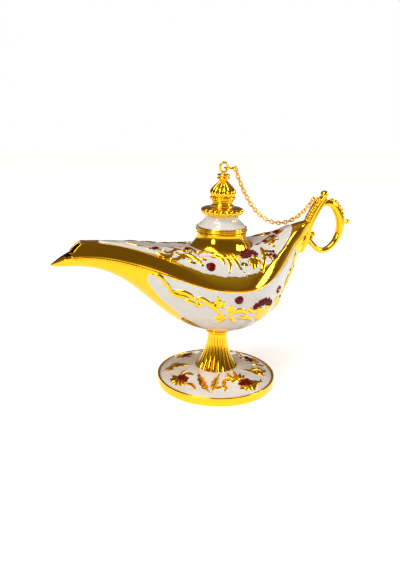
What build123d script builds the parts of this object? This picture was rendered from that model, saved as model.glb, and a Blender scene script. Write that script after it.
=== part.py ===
from build123d import *
import math
import os

os.makedirs("parts", exist_ok=True)

# Genie oil lamp, all sizes in millimetres, +Z up.
# The origin is the centre of the foot's resting face. The spout points to -X and the handle to +X.

# Foot: a cast dish with a plain rim and an enamelled dome, open underneath.
foot_radius = 28.0
foot_rim_height = 3.7
foot_rim_width = 1.1
foot_ring_width = 3.2
foot_dome_rise = 3.9
foot_wall = 1.7
foot_boss_radius = 5.2
foot_enamel_thickness = 0.5

# Blossoms: the largest dome of red enamel, whose share the smaller ones take.
blossom_radius = 2.6
blossom_proud = 0.85

# Stem: a fluted column with a collar under the hull, held by one long screw.
stem_height = 17.1
stem_base_radius = 9.6
stem_top_radius = 4.4
stem_flutes = 20
stem_flute_depth = 0.55
collar_height = 2.2
collar_radius = 5.7
screw_radius = 1.45
screw_clearance = 0.06
screw_head_radius = 2.9
screw_head_height = 1.6
screw_washer_radius = 3.9
screw_washer_thickness = 0.6
screw_engagement = 6.0
socket_radius = 1.25
hull_boss_radius = 3.8
hull_boss_height = 7.2

# Body: a boat-shaped hull and deck, soldered at a seam just below the wide plain band.
spout_reach = 74.6
stern_reach = 40.0
half_beam = 26.5
hull_height = 50.9
body_wall = 1.3
enamel_thickness = 0.45
seam_drop = 0.5
panel_margin = 0.9
panel_front_reach = 37.0
panel_stern_reach = 36.6
panel_keel_margin = 6.2
panel_belly_margin = 1.1
deck_panel_front_reach = 54.5
deck_panel_stern_reach = 34.6
keel_strip_width = 2.4

# Mouth of the spout: the hood ends at a slanted arch, and the trough runs on to a pointed lip.
hood_reach = 60.1
mouth_corner_reach = 66.2
mouth_corner_z = 65.6
lip_tip_z = 61.2

# Neck: a turned collar on the deck, with the bore that takes the lid.
neck_rise = 46.5
neck_radius = 11.0
neck_wall = 2.0
neck_flare_radius = 16.2
neck_flare_height = 9.2

# Lid: ring and spigot, enamelled dome, gadrooned collar and onion finial on one stud.
spigot_clearance = 0.3
spigot_depth = 5.0
spigot_wall = 1.6
lid_ring_radius = 11.7
lid_ring_height = 2.0
dome_base_radius = 11.0
dome_waist_radius = 7.6
dome_height = 4.8
gadroon_radius = 9.6
gadroon_height = 3.9
gadroon_lobes = 18
finial_neck_radius = 4.4
finial_neck_height = 3.1
bulb_radius = 5.9
bulb_foot_radius = 5.6
bulb_tip_radius = 1.6
bulb_height = 8.8
bulb_lobes = 13
bulb_flute_depth = 0.5
cap_radius = 3.0
cap_height = 2.4
stud_radius = 1.2
stud_clearance = 0.05
nut_radius = 2.6
nut_height = 1.6

# Swivel eye on top of the finial.
eye_wire = 1.0
eye_half_width = 1.7
eye_straight = 0.7
swivel_radius = 0.7
swivel_clearance = 0.06
swivel_head_radius = 1.15
swivel_head_height = 0.7
swivel_length = 3.6
swivel_shoulder = 0.3

# Handle: a flat stem riveted to the stern, with a ring for the finger and small balls.
handle_base_z = 60.0
handle_height = 30.0
handle_reach = 20.7
handle_thickness = 4.2
handle_width = 5.4
ring_thickness = 3.6
ring_width = 4.2
top_ball_radius = 1.9
joint_ball_radius = 1.9
curl_ball_radius = 1.35
curl_thickness = 1.7
thumb_ball_radius = 1.2
thumb_reach = 5.0
thumb_stalk_radius = 0.9
leaf_relief = 0.9
leaf_half_width = 1.4
bead_radius = 0.85
bead_count = 9
rivet_radius = 0.8
rivet_clearance = 0.03
rivet_length = 5.4
rivet_head_radius = 1.3
rivet_head_height = 0.5

# Chain: oval links, each pair one piece long and one piece edge-on, from the handle to the finial.
chain_length = 57.0
chain_pairs = 16
chain_wire = 0.55
chain_link_width = 2.1
chain_gap = 0.08
jump_ring_radius = 2.45
jump_ring_offset = 0.45
jump_ring_wire = 0.7
handle_eye_radius = 1.5
handle_eye_wire = 0.7
handle_eye_reach = 5.3
handle_eye_rise = 27.0
handle_eye_peg = 2.6

# One overrun serves every cut.
overrun = 2.0

# Heights that follow from the sizes above.
foot_land_z = foot_rim_height + foot_dome_rise
stem_top_z = foot_land_z + stem_height
hull_base_z = stem_top_z + collar_height
neck_top_z = hull_base_z + neck_rise
neck_bore_radius = neck_radius - neck_wall
spigot_radius = neck_bore_radius - spigot_clearance
dome_base_z = neck_top_z + lid_ring_height
gadroon_base_z = dome_base_z + dome_height
finial_neck_z = gadroon_base_z + gadroon_height
bulb_base_z = finial_neck_z + finial_neck_height
cap_base_z = bulb_base_z + bulb_height
cap_top_z = cap_base_z + cap_height
eye_centre_z = cap_top_z + swivel_shoulder + eye_wire / 2 + eye_half_width + eye_straight / 2
handle_eye_x = stern_reach + handle_eye_reach
handle_eye_z = handle_base_z + handle_eye_rise
jump_bar_x = jump_ring_offset + 2 * jump_ring_radius
jump_bar_z = eye_centre_z - eye_straight / 2

# Cross-sections of the body from the tip of the lip to the stern. The first share is of the
# reach, the next of the half beam, then seam and keel as shares of the hull's height, the
# band's upper edge as shares of half beam and height, and last the ridge's height.
body_shares = [
    (-1.000, 0.030, 0.676, 0.660, 0.023, 0.692, 0.697),
    (-0.952, 0.136, 0.713, 0.652, 0.113, 0.772, 0.792),
    (-0.885, 0.197, 0.745, 0.648, 0.166, 0.839, 0.861),
    (-0.790, 0.208, 0.749, 0.635, 0.174, 0.853, 0.866),
    (-0.685, 0.242, 0.729, 0.583, 0.208, 0.841, 0.851),
    (-0.575, 0.326, 0.695, 0.489, 0.283, 0.811, 0.833),
    (-0.455, 0.462, 0.648, 0.334, 0.400, 0.762, 0.807),
    (-0.320, 0.659, 0.591, 0.163, 0.566, 0.694, 0.788),
    (-0.175, 0.864, 0.532, 0.045, 0.747, 0.621, 0.780),
    (-0.027, 0.989, 0.509, 0.000, 0.860, 0.589, 0.784),
    (0.175, 0.977, 0.513, 0.000, 0.845, 0.601, 0.788),
    (0.375, 0.833, 0.546, 0.033, 0.717, 0.650, 0.804),
    (0.550, 0.644, 0.603, 0.096, 0.543, 0.725, 0.835),
    (0.713, 0.432, 0.682, 0.208, 0.351, 0.804, 0.880),
    (0.850, 0.261, 0.780, 0.405, 0.204, 0.898, 0.937),
    (1.000, 0.144, 0.874, 0.690, 0.113, 0.980, 1.000),
]
hull_angle_shares = [0, 1 / 6, 1 / 3, 1 / 2, 2 / 3, 5 / 6, 1]
deck_width_shares = [-1, -0.75, -0.4, 0, 0.4, 0.75, 1]
hull_fullness = 0.95
deck_flatness = 3.2
edge_inset_share = 0.75


def reach(share):
    """Distance along X for a share of the spout's or the stern's reach."""
    return share * (stern_reach if share > 0 else spout_reach)


def height(share):
    """Height above the table for a share of the hull's height."""
    return hull_base_z + share * hull_height


def upright(*points):
    """A closed flat face in the XZ plane through (x, z) points."""
    return make_face(Plane.XZ * Polyline(*points, close=True))


def turned(*points):
    """A solid turned about Z from a closed (radius, z) outline."""
    return revolve(upright(*points), Axis.Z)


def rod(radius, low_z, high_z, x=0, y=0):
    """A vertical round bar between two heights."""
    bar = Cylinder(radius, high_z - low_z, align=(Align.CENTER, Align.CENTER, Align.MIN))
    return Pos(x, y, low_z) * bar


# Body shells

def body_section(row, inset):
    """One closed cross-section of the body, drawn in by a wall or let out by a relief."""
    along, beam, seam, keel, edge, edge_rise, ridge = row
    x = reach(along)
    seam_y = beam * half_beam - inset
    seam_z = height(seam)
    drop = seam_z - height(keel) - inset
    edge_y = edge * half_beam - inset * edge_inset_share
    edge_z = height(edge_rise) - inset * edge_inset_share
    crown = height(ridge) - inset - edge_z
    hull = []
    for share in hull_angle_shares:
        angle = share * math.pi
        fall = drop * math.sin(angle) ** hull_fullness if 0 < share < 1 else 0
        hull.append((x, seam_y * math.cos(angle), seam_z - fall))
    deck = []
    for share in deck_width_shares:
        rise = crown * (1 - abs(share) ** deck_flatness)
        deck.append((x, share * edge_y, edge_z + rise))
    slope = deck_flatness * crown / edge_y
    edges = [
        Spline(*hull, tangents=[(0, 0, -1), (0, 0, 1)]),
        Line(hull[-1], deck[0]),
        Spline(*deck, tangents=[(0, 1, slope), (0, 1, -slope)]),
        Line(deck[-1], hull[0]),
    ]
    return Face(Wire(edges))


def body_loft(inset, rows=body_shares):
    """The whole body as one smooth solid, offset inwards by the inset."""
    return loft([body_section(row, inset) for row in rows])


def seam_line():
    """The seam between hull and deck, seen from the side, just below the band's lower edge."""
    return [(reach(row[0]), height(row[2]) - seam_drop) for row in body_shares]


def below_seam():
    """Everything under the seam surface."""
    line = seam_line()
    first, last = line[0], line[-1]
    start = (first[0] - overrun, first[1])
    stop = (last[0] + overrun, last[1])
    base = hull_base_z - overrun
    top = Spline(start, *line, stop)
    sides = Polyline(stop, (stop[0], base), (start[0], base), start)
    face = make_face(Plane.XZ * (Curve() + [top, sides]))
    return extrude(face, amount=half_beam + overrun, both=True)


def mouth_cut():
    """Takes away the hood in front of its arch, and all above the lip's falling edge."""
    tip = (-spout_reach - overrun, lip_tip_z - overrun)
    corner = (-mouth_corner_reach, mouth_corner_z)
    crown = (-hood_reach, height(1))
    drop_share, lean_share = 0.35, 0.4
    bend = (
        crown[0] + lean_share * (corner[0] - crown[0]),
        crown[1] - drop_share * (crown[1] - corner[1]),
    )
    far = (tip[0], crown[1])
    edge = ThreePointArc(corner, bend, crown)
    rest = Polyline(crown, far, tip, (-spout_reach, lip_tip_z), corner)
    face = make_face(Plane.XZ * (Curve() + [edge, rest]))
    return extrude(face, amount=half_beam, both=True)


def at(x, column):
    """One column of the body's shares at any place along X, between its two sections."""
    for row, after in zip(body_shares, body_shares[1:]):
        if reach(row[0]) <= x <= reach(after[0]):
            part_way = (x - reach(row[0])) / (reach(after[0]) - reach(row[0]))
            return row[column] + part_way * (after[column] - row[column])
    return body_shares[-1][column]


def hull_panel_prism():
    """Outline of the enamel on the hull's two sides, seen from the side."""
    inside = [reach(row[0]) for row in body_shares]
    inside = [x for x in inside if -panel_front_reach < x < panel_stern_reach]
    lean_share = 0.12
    front = -panel_front_reach
    low_front = front * (1 - lean_share)

    def top(x):
        return (x, height(at(x, 2)) - seam_drop - panel_margin)

    def bottom(x):
        along = max(0, -x) / panel_front_reach
        margin = panel_belly_margin + along * (panel_keel_margin - panel_belly_margin)
        return (x, height(at(x, 3)) + margin)

    rear = panel_stern_reach
    upper = Spline(top(front), *[top(x) for x in inside], top(rear))
    lower = Spline(bottom(low_front), *[bottom(x) for x in inside if x > low_front], bottom(rear))
    left = Line(top(front), bottom(low_front))
    right = Line(top(rear), bottom(rear))
    face = make_face(Plane.XZ * (Curve() + [upper, lower, left, right]))
    prism = extrude(face, amount=half_beam + overrun, both=True)
    return prism - Box(2 * spout_reach, keel_strip_width, 2 * height(1))


def deck_panel_prism():
    """Outline of the enamel on the deck, seen from above, clear of the neck's foot."""
    inside = [reach(row[0]) for row in body_shares]
    inside = [x for x in inside if -deck_panel_front_reach < x < deck_panel_stern_reach]
    width_share = 0.88
    places = [-deck_panel_front_reach, *inside, deck_panel_stern_reach]
    near = [(x, -width_share * at(x, 4) * half_beam) for x in places]
    far = [(x, -y) for x, y in near]
    edges = [Spline(*near), Line(near[-1], far[-1]), Spline(*far), Line(far[0], near[0])]
    face = make_face(Curve() + edges)
    prism = extrude(Pos(0, 0, hull_base_z) * face, amount=hull_height + overrun)
    return prism - rod(neck_flare_radius, hull_base_z, height(1) + overrun)


# Blossoms and berries: domes of red enamel set into the panels

# Hull, near side: place along the reach, level from keel to seam, share of the blossom's radius.
hull_blossom_shares = [(-0.012, 0.80, 0.62), (0.200, 0.68, 1.00), (0.425, 0.82, 0.55), (0.640, 0.62, 0.50)]

# Deck, near side: place along the reach, share of the width to the band, share of the radius.
deck_blossom_shares = [
    (-0.420, 0.62, 0.40), (-0.262, 0.38, 0.45), (-0.100, 0.84, 0.62), (0.255, 0.80, 1.00),
    (0.500, 0.62, 0.45), (0.700, 0.30, 0.40),
]

# Foot: turn about the axis in degrees, share of the way from stem to rim, share of the radius.
foot_blossom_shares = [
    (-146, 0.62, 0.85), (-74, 0.66, 1.00), (-28, 0.72, 0.45), (8, 0.45, 0.45),
    (40, 0.55, 0.80), (100, 0.50, 0.45), (130, 0.60, 0.90), (168, 0.45, 0.45),
]


def dome_cap(face_point, normal, size_share):
    """A shallow dome let into a surface, flat underneath."""
    radius = blossom_radius * size_share
    rise = blossom_proud * math.sqrt(size_share)
    tall = rise + enamel_thickness
    sphere_radius = (radius ** 2 + tall ** 2) / (2 * tall)
    wide = 2 * sphere_radius
    trim = Pos(0, 0, -enamel_thickness) * Box(wide, wide, wide, align=(Align.CENTER, Align.CENTER, Align.MIN))
    cap = Pos(0, 0, rise - sphere_radius) * Sphere(sphere_radius) & trim
    return Plane(origin=face_point, z_dir=normal) * cap


def nearest_hit(shape, start, way):
    """Where a line from outside first meets a shape, and the surface's outward normal there."""
    hits = shape.find_intersection_points(Axis(start, way))
    point, normal = min(hits, key=lambda hit: (hit[0] - Vector(*start)).length)
    return point, normal if normal.dot(Vector(*way)) < 0 else -normal


def side_caps(outer):
    """Blossoms on both sides of the hull, placed from the side."""
    caps = []
    for along, level, size in hull_blossom_shares:
        x = reach(along)
        keel_z = height(at(x, 3))
        z = keel_z + level * (height(at(x, 2)) - keel_z)
        for side in (-1, 1):
            start = (x, side * (half_beam + overrun), z)
            caps.append(dome_cap(*nearest_hit(outer, start, (0, -side, 0)), size))
    return caps


def deck_caps(outer):
    """Blossoms on both sides of the deck, placed from above."""
    caps = []
    for along, across, size in deck_blossom_shares:
        x = reach(along)
        for side in (-1, 1):
            start = (x, side * across * at(x, 4) * half_beam, height(1) + overrun)
            caps.append(dome_cap(*nearest_hit(outer, start, (0, 0, -1)), size))
    return caps


def foot_caps(dome):
    """Blossoms round the foot, placed from above."""
    caps = []
    for turn, way, size in foot_blossom_shares:
        radius = stem_base_radius + way * (foot_radius - foot_rim_width - stem_base_radius)
        angle = math.radians(turn)
        start = (radius * math.cos(angle), radius * math.sin(angle), hull_base_z)
        caps.append(dome_cap(*nearest_hit(dome, start, (0, 0, -1)), size))
    return caps


def without(shape, cutters):
    """A shape less each of the cutters."""
    for cutter in cutters:
        shape = shape - cutter
    return shape


def group(shapes):
    """Separate solids under one name."""
    return Compound([shape.solid() for shape in shapes])


# Pieces of the body

def body_pieces():
    """Hull, deck, enamel panels and blossoms, all cut from the same lofts."""
    outer = body_loft(0)
    low = below_seam()
    cavity = body_loft(body_wall, body_shares[1:-2])
    skin = outer - body_loft(enamel_thickness)
    panels = skin & hull_panel_prism() & low
    deck_enamel = (skin & deck_panel_prism()) - low
    shell = outer - cavity - mouth_cut() - panels - deck_enamel
    bore = rod(neck_bore_radius, height(at(0, 5)), height(1) + overrun)
    boss_top = hull_base_z + hull_boss_height
    boss = rod(hull_boss_radius, hull_base_z - overrun, boss_top) & outer
    screw_hole = rod(screw_radius + screw_clearance, hull_base_z - overrun, hull_base_z + screw_engagement)
    low_caps, high_caps = side_caps(outer), deck_caps(outer)
    sides = without(panels, low_caps).solids().sort_by(Axis.Y)
    nodes = {
        "hull_shell": without((shell & low) + boss - screw_hole, low_caps),
        "deck_shell": without(shell - low - bore, high_caps),
        "hull_enamel_front": sides[0],
        "hull_enamel_back": sides[-1],
        "hull_blossoms": group(low_caps),
        "deck_enamel": without(deck_enamel, high_caps),
        "deck_blossoms": group(high_caps),
        "neck_collar": turned_neck() - outer,
    }
    return outer, nodes


def turned_neck():
    """The neck's collar: a polished sleeve that flares out onto the deck."""
    foot_z = height(at(0, 5))
    flare_z = neck_top_z - neck_flare_height
    flare_shares = [(0, 1), (0.04, 0.66), (0.22, 0.40), (0.56, 0.17), (1, 0)]
    curve = []
    for out, up in flare_shares:
        radius = neck_radius + out * (neck_flare_radius - neck_radius)
        curve.append((radius, flare_z + up * neck_flare_height))
    inner_top = (neck_bore_radius, neck_top_z)
    inner_foot = (neck_bore_radius, foot_z)
    outer_foot = (neck_flare_radius, foot_z)
    rest = Polyline(curve[-1], outer_foot, inner_foot, inner_top, curve[0])
    return revolve(make_face(Plane.XZ * (Curve() + [Spline(*curve), rest])), Axis.Z)


# Foot and stem

def dome_line(drop):
    """The foot's dome from its rim to the stem, lowered by a layer's thickness."""
    low_radius = foot_radius - foot_rim_width
    inner = stem_base_radius + foot_enamel_thickness
    dome_rise_shares = [(0, 0), (0.33, 0.36), (0.68, 0.72), (1, 1)]
    points = []
    for way, up in dome_rise_shares:
        radius = low_radius + way * (inner - low_radius)
        z = foot_rim_height + up * (foot_dome_rise + foot_enamel_thickness)
        points.append((radius, z - drop))
    return points


def layer(top_drop, bottom_drop):
    """A turned skin between two depths under the dome."""
    top = dome_line(top_drop)
    bottom = dome_line(bottom_drop)
    edges = [Spline(*top), Line(top[-1], bottom[-1]), Spline(*bottom), Line(bottom[0], top[0])]
    return revolve(make_face(Plane.XZ * (Curve() + edges)), Axis.Z)


def foot_pieces():
    """Foot dish, enamel, ornament, and the screw that draws the whole lamp together."""
    boss_z = screw_head_height + 2 * screw_washer_thickness
    under = foot_enamel_thickness + foot_wall
    top = dome_line(foot_enamel_thickness)
    low = dome_line(under)
    ring_inner = foot_radius - foot_ring_width
    hole = screw_radius + screw_clearance
    rim = foot_radius - foot_rim_width
    rim_edge = foot_rim_width / 3
    boss_top = foot_land_z - foot_wall
    edges = [
        Spline(*top),
        Polyline(top[-1], (hole, foot_land_z), (hole, boss_z), (foot_boss_radius, boss_z),
                 (foot_boss_radius, boss_top), (low[-1][0], boss_top), low[-1]),
        Spline(*low[1:]),
        Polyline(low[1], (ring_inner, low[1][1]), (ring_inner, 0), (foot_radius - rim_edge, 0),
                 (foot_radius, rim_edge), (foot_radius, foot_rim_height - rim_edge),
                 (foot_radius - rim_edge, foot_rim_height), (rim, foot_rim_height), top[0]),
    ]
    plate = revolve(make_face(Plane.XZ * (Curve() + edges)), Axis.Z)
    enamel = layer(0, foot_enamel_thickness)
    caps = foot_caps(enamel)
    head_z = boss_z - screw_washer_thickness - screw_head_height
    head_top = head_z + screw_head_height
    socket = Pos(0, 0, head_z) * extrude(RegularPolygon(socket_radius, 6), amount=screw_head_height / 2)
    shank = rod(screw_radius, head_top, hull_base_z + screw_engagement)
    screw = rod(screw_head_radius, head_z, head_top) + shank
    washer = rod(screw_washer_radius, head_top, boss_z) - rod(hole, head_top, boss_z)
    return {
        "foot_plate": without(plate, caps),
        "foot_enamel": without(enamel, caps),
        "foot_blossoms": group(caps),
        "tie_screw": screw - socket,
        "tie_washer": washer,
    }


def lobed(radius, depth, lobes, z):
    """A closed outline of round lobes, as on a reeded column."""
    step = 2 * math.pi / lobes
    edges = []
    for number in range(lobes):
        points = []
        for part_way, r in ((0, radius - depth), (0.5, radius), (1, radius - depth)):
            angle = (number + part_way) * step
            points.append((r * math.cos(angle), r * math.sin(angle), z))
        edges.append(ThreePointArc(*points))
    return Face(Wire(edges))


def stem_pieces(outer):
    """Reeded column and the collar on top of it, shaped to the hull's belly."""
    stem_shares = [(0, 1), (0.11, 0.79), (0.29, 0.52), (0.52, 0.25), (0.76, 0.06), (1, 0)]
    sections = []
    for up, out in stem_shares:
        radius = stem_top_radius + out * (stem_base_radius - stem_top_radius)
        depth = stem_flute_depth * radius / stem_base_radius
        sections.append(lobed(radius, depth, stem_flutes, foot_land_z + up * stem_height))
    hole = rod(screw_radius + screw_clearance, foot_land_z - overrun, hull_base_z + overrun)
    stem = loft(sections) - hole
    throat = (stem_top_radius + collar_radius) / 2
    third = collar_height / 3
    collar = turned(
        (0, stem_top_z), (stem_top_radius, stem_top_z), (collar_radius, stem_top_z + third),
        (collar_radius, stem_top_z + 2 * third), (throat, hull_base_z), (throat, hull_base_z + third),
        (0, hull_base_z + third),
    )
    return {"stem_column": stem, "stem_collar": collar - hole - outer}


# Lid

def lid_pieces():
    """The lid and its finial, from the spigot up to the cap that holds the swivel eye."""
    hole = stud_radius + stud_clearance
    stud_foot_z = neck_top_z - nut_height - stud_radius / 2
    stud_top_z = bulb_base_z + bulb_height / 2
    bore = rod(hole, stud_foot_z, stud_top_z)
    third = lid_ring_height / 3
    rim = lid_ring_radius - third / 2
    spigot_bore = spigot_radius - spigot_wall
    spigot_foot_z = neck_top_z - spigot_depth
    ring = turned(
        (0, neck_top_z), (spigot_bore, neck_top_z), (spigot_bore, spigot_foot_z),
        (spigot_radius, spigot_foot_z), (spigot_radius, neck_top_z), (rim, neck_top_z),
        (lid_ring_radius, neck_top_z + third), (lid_ring_radius, neck_top_z + 2 * third),
        (dome_base_radius, dome_base_z), (0, dome_base_z),
    )
    dome_shares = [(0, 1), (0.12, 0.86), (0.42, 0.36), (0.72, 0.06), (1, 0)]
    curve = []
    for up, out in dome_shares:
        radius = dome_waist_radius + out * (dome_base_radius - dome_waist_radius)
        curve.append((radius, dome_base_z + up * dome_height))
    rest = Polyline(curve[-1], (0, gadroon_base_z), (0, dome_base_z), curve[0])
    dome = revolve(make_face(Plane.XZ * (Curve() + [Spline(*curve), rest])), Axis.Z)
    return {
        "lid_ring": ring - bore,
        "lid_dome": dome - bore,
        "lid_gadroon": gadroon() - bore,
        "finial_neck": finial_neck() - bore,
        "finial_bulb": bulb() - bore,
        "finial_cap": finial_cap(),
        "lid_stud": rod(stud_radius, stud_foot_z, stud_top_z),
        "lid_nut": nut(bore),
    }


def gadroon():
    """A disc with a row of rounded lobes round its edge."""
    core_share, crown_share, lobe_share = 0.86, 0.55, 0.15
    core_radius = core_share * gadroon_radius
    middle_z = gadroon_base_z + gadroon_height / 2
    fourth = gadroon_height / 4
    solid = turned(
        (0, gadroon_base_z), (dome_waist_radius, gadroon_base_z),
        (core_radius, gadroon_base_z + fourth), (core_radius, gadroon_base_z + 3 * fourth),
        (crown_share * gadroon_radius, finial_neck_z), (0, finial_neck_z),
    )
    half_step = math.pi * core_radius / gadroon_lobes
    lobe = scale(Sphere(1), by=(lobe_share * gadroon_radius, half_step, gadroon_height / 2 - fourth / 4))
    for place in PolarLocations((1 - lobe_share) * gadroon_radius, gadroon_lobes):
        solid += Pos(0, 0, middle_z) * place * lobe
    return solid


def finial_neck():
    """A short turned baluster between the gadrooned collar and the bulb."""
    sixth = finial_neck_height / 6
    shoulder = finial_neck_radius + sixth
    foot = shoulder + sixth / 2
    throat = finial_neck_radius - sixth / 2
    return turned(
        (0, finial_neck_z), (foot, finial_neck_z), (foot, finial_neck_z + sixth),
        (finial_neck_radius, finial_neck_z + 2 * sixth), (throat, finial_neck_z + 3 * sixth),
        (finial_neck_radius, finial_neck_z + 4 * sixth), (shoulder, finial_neck_z + 5 * sixth),
        (shoulder, bulb_base_z), (0, bulb_base_z),
    )


def bulb():
    """The fluted onion bulb on its plain round foot."""
    foot_share = 0.15
    foot_z = bulb_base_z + foot_share * bulb_height
    bulb_shares = [(0.15, 0.84), (0.24, 0.96), (0.36, 1.0), (0.54, 0.88), (0.73, 0.62), (0.89, 0.37)]
    sections = []
    for up, out in bulb_shares:
        depth = bulb_flute_depth * out
        sections.append(lobed(out * bulb_radius, depth, bulb_lobes, bulb_base_z + up * bulb_height))
    tip_depth = bulb_flute_depth * bulb_tip_radius / bulb_radius
    sections.append(lobed(bulb_tip_radius, tip_depth, bulb_lobes, cap_base_z))
    edge = (foot_z - bulb_base_z) / 3
    foot = turned(
        (0, bulb_base_z), (bulb_foot_radius - edge, bulb_base_z), (bulb_foot_radius, bulb_base_z + edge),
        (bulb_foot_radius, foot_z - edge), (bulb_foot_radius - edge, foot_z), (0, foot_z),
    )
    return loft(sections) + foot


def finial_cap():
    """Two beads in one turned cap, hollow to hold the swivel's head."""
    half = cap_height / 2
    waist = cap_radius - half / 3
    edge = half / 4
    outline = [(0, cap_base_z)]
    for low_z in (cap_base_z, cap_base_z + half):
        outline += [(waist, low_z), (cap_radius, low_z + edge), (cap_radius, low_z + half - edge)]
    outline += [(waist, cap_top_z), (0, cap_top_z)]
    pocket_top = cap_base_z + swivel_head_height + 2 * swivel_clearance
    pocket = rod(swivel_head_radius + swivel_clearance, cap_base_z, pocket_top)
    bore = rod(swivel_radius + swivel_clearance, cap_base_z, cap_top_z)
    return turned(*outline) - pocket - bore


def nut(bore):
    """The nut that draws the lid's pieces together, inside the spigot."""
    blank = extrude(RegularPolygon(nut_radius, 6), amount=nut_height)
    return Pos(0, 0, neck_top_z - nut_height) * blank - bore


def swivel_eye():
    """The eye on the finial: a long loop on a headed shank that turns in the cap."""
    across = 2 * eye_half_width + eye_wire
    loop = link(across + eye_straight, across, eye_wire, eye_half_width)
    loop = Plane(origin=(0, 0, eye_centre_z), x_dir=(0, 0, 1), z_dir=(0, 1, 0)) * loop
    head_z = cap_base_z + swivel_clearance
    foot_of_loop = eye_centre_z - eye_straight / 2 - eye_half_width
    head = rod(swivel_head_radius, head_z, head_z + swivel_head_height)
    return loop + rod(swivel_radius, head_z, foot_of_loop) + head


# Chain

def link(length, width, wire, corner):
    """One closed link in the XY plane, its long way on X."""
    corner_limit = 0.98
    across = width - wire
    radius = min(corner, corner_limit * across / 2)
    path = RectangleRounded(length - wire, across, radius).wire()
    start = Plane(origin=path @ 0, z_dir=path % 0)
    return sweep(start * Circle(wire / 2), path=path)


def hanging_angles(start, end, length, stops):
    """Directions of a hanging chain at given lengths along it, in radians from +X in the XZ plane."""
    span = start[0] - end[0]
    climb = end[1] - start[1]
    chord = math.sqrt(length ** 2 - climb ** 2)
    widest_search, halvings = 100, 200
    low, high = span / widest_search, span * widest_search
    for _ in range(halvings):
        flat = math.sqrt(low * high)
        too_long = 2 * flat * math.sinh(span / (2 * flat)) > chord
        low, high = (flat, high) if too_long else (low, flat)
    lowest = (start[0] + end[0]) / 2 + flat * math.atanh(climb / length)
    arc = flat * math.sinh((start[0] - lowest) / flat)
    return [math.atan((arc - stop) / flat) + math.pi for stop in stops]


def chain_steps():
    """Distances between the chain's pivots: one for each pair of links, and one for the last link."""
    end_reach = chain_wire / 2 + chain_gap + jump_ring_wire / 2 + chain_gap
    # The last step runs from that link's near bar to the jump ring, and the pairs share the rest.
    pair = (chain_length + chain_gap + end_reach) / (chain_pairs + 1 / 2)
    length = (pair + 4 * chain_wire + 2 * chain_gap) / 2
    last = length - 2 * chain_wire - end_reach
    pair = 2 * length - 4 * chain_wire - 2 * chain_gap
    return length, [pair] * chain_pairs + [last]


def chain_pivots(lift=0):
    """The pivots of the chain from the handle to the jump ring, and each step's direction."""
    length, steps = chain_steps()
    stops, done = [], 0
    for step in steps:
        stops.append(done + step / 2)
        done += step
    start = (handle_eye_x, handle_eye_z)
    angles = hanging_angles(start, (jump_bar_x, jump_bar_z + lift), done, stops)
    points = [start]
    for step, angle in zip(steps, angles):
        x, z = points[-1]
        points.append((x + step * math.cos(angle), z + step * math.sin(angle)))
    return points, angles


def chain_pieces():
    """Pairs of links from the handle's eye to the jump ring on the finial."""
    length, _ = chain_steps()
    points, angles = chain_pivots()
    corner = chain_link_width / 4
    flat_link = link(length, chain_link_width, chain_wire, chain_link_width)
    edge_link = link(length, chain_link_width, chain_wire, corner)
    flat_centre = length / 2 - 3 * chain_wire / 2 - chain_gap
    edge_centre = flat_centre + length - 2 * chain_wire - chain_gap
    nodes = {}
    for number, angle in enumerate(angles):
        x, z = points[number]
        way = (math.cos(angle), 0, math.sin(angle))
        normal = (math.sin(angle), 0, -math.cos(angle))
        flat_at = (x + flat_centre * way[0], 0, z + flat_centre * way[2])
        solids = [Plane(origin=flat_at, x_dir=way, z_dir=(0, 1, 0)) * flat_link]
        if number < chain_pairs:
            edge_at = (x + edge_centre * way[0], 0, z + edge_centre * way[2])
            solids.append(Plane(origin=edge_at, x_dir=way, z_dir=normal) * edge_link)
        nodes[f"chain_links_{number + 1:02d}"] = group(solids)
    bar_x, bar_z = points[-1]
    nodes["jump_ring"] = Pos(bar_x - jump_ring_radius, 0, bar_z) * Torus(jump_ring_radius, jump_ring_wire / 2)
    return nodes


# Handle

# Places as shares of the handle's reach and height, with thickness and width as shares of its own.
stem_bar_shares = [
    (0.030, -0.010, 0.55, 0.66), (0.100, 0.235, 0.84, 0.88), (0.170, 0.470, 1.00, 1.00),
    (0.310, 0.690, 1.00, 0.96), (0.520, 0.915, 0.86, 0.82),
]
ring_shares = [
    (0.480, 0.810, 0.70, 0.72), (0.690, 0.820, 0.92, 0.88), (0.880, 0.700, 1.05, 1.00),
    (1.000, 0.490, 1.08, 1.05), (0.965, 0.290, 0.92, 0.92), (0.800, 0.125, 0.78, 0.80),
    (0.580, 0.060, 0.74, 0.76), (0.360, 0.140, 0.72, 0.76), (0.200, 0.255, 0.70, 0.76),
]
curl_shares = [(0.235, 0.215, 1.0, 1.0), (0.265, 0.275, 1.0, 1.0), (0.300, 0.330, 1.0, 1.0)]
leaf_shares = [(0.800, 0.845, 1.0), (0.905, 0.770, 1.15), (0.985, 0.680, 1.1), (1.045, 0.590, 0.9)]
joint_ball_share = (0.105, 0.250)
thumb_share = (1.000, 0.520)
top_ball_sink_share = 0.6
leaf_lean_share = 0.44
bead_run_shares = (0.46, 0.88)
dowel_shares = [0.12, 0.62]


def handle_point(along, up):
    """A point in the handle's plane."""
    return Vector(stern_reach + along * handle_reach, 0, handle_base_z + up * handle_height)


def bar(shares, thickness, width):
    """A bar of oval section that follows its points and swells as they say."""
    points = [handle_point(row[0], row[1]) for row in shares]
    path = Spline(*points)
    sections = []
    for row, point in zip(shares, points):
        way = path.tangent_at(path.param_at_point(point))
        place = Plane(origin=point, x_dir=(0, 1, 0), z_dir=way)
        sections.append(place * Ellipse(row[3] * width / 2, row[2] * thickness / 2))
    return loft(sections), path


def ball(point, radius):
    """A cast ball."""
    return Pos(*point) * Sphere(radius)


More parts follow.
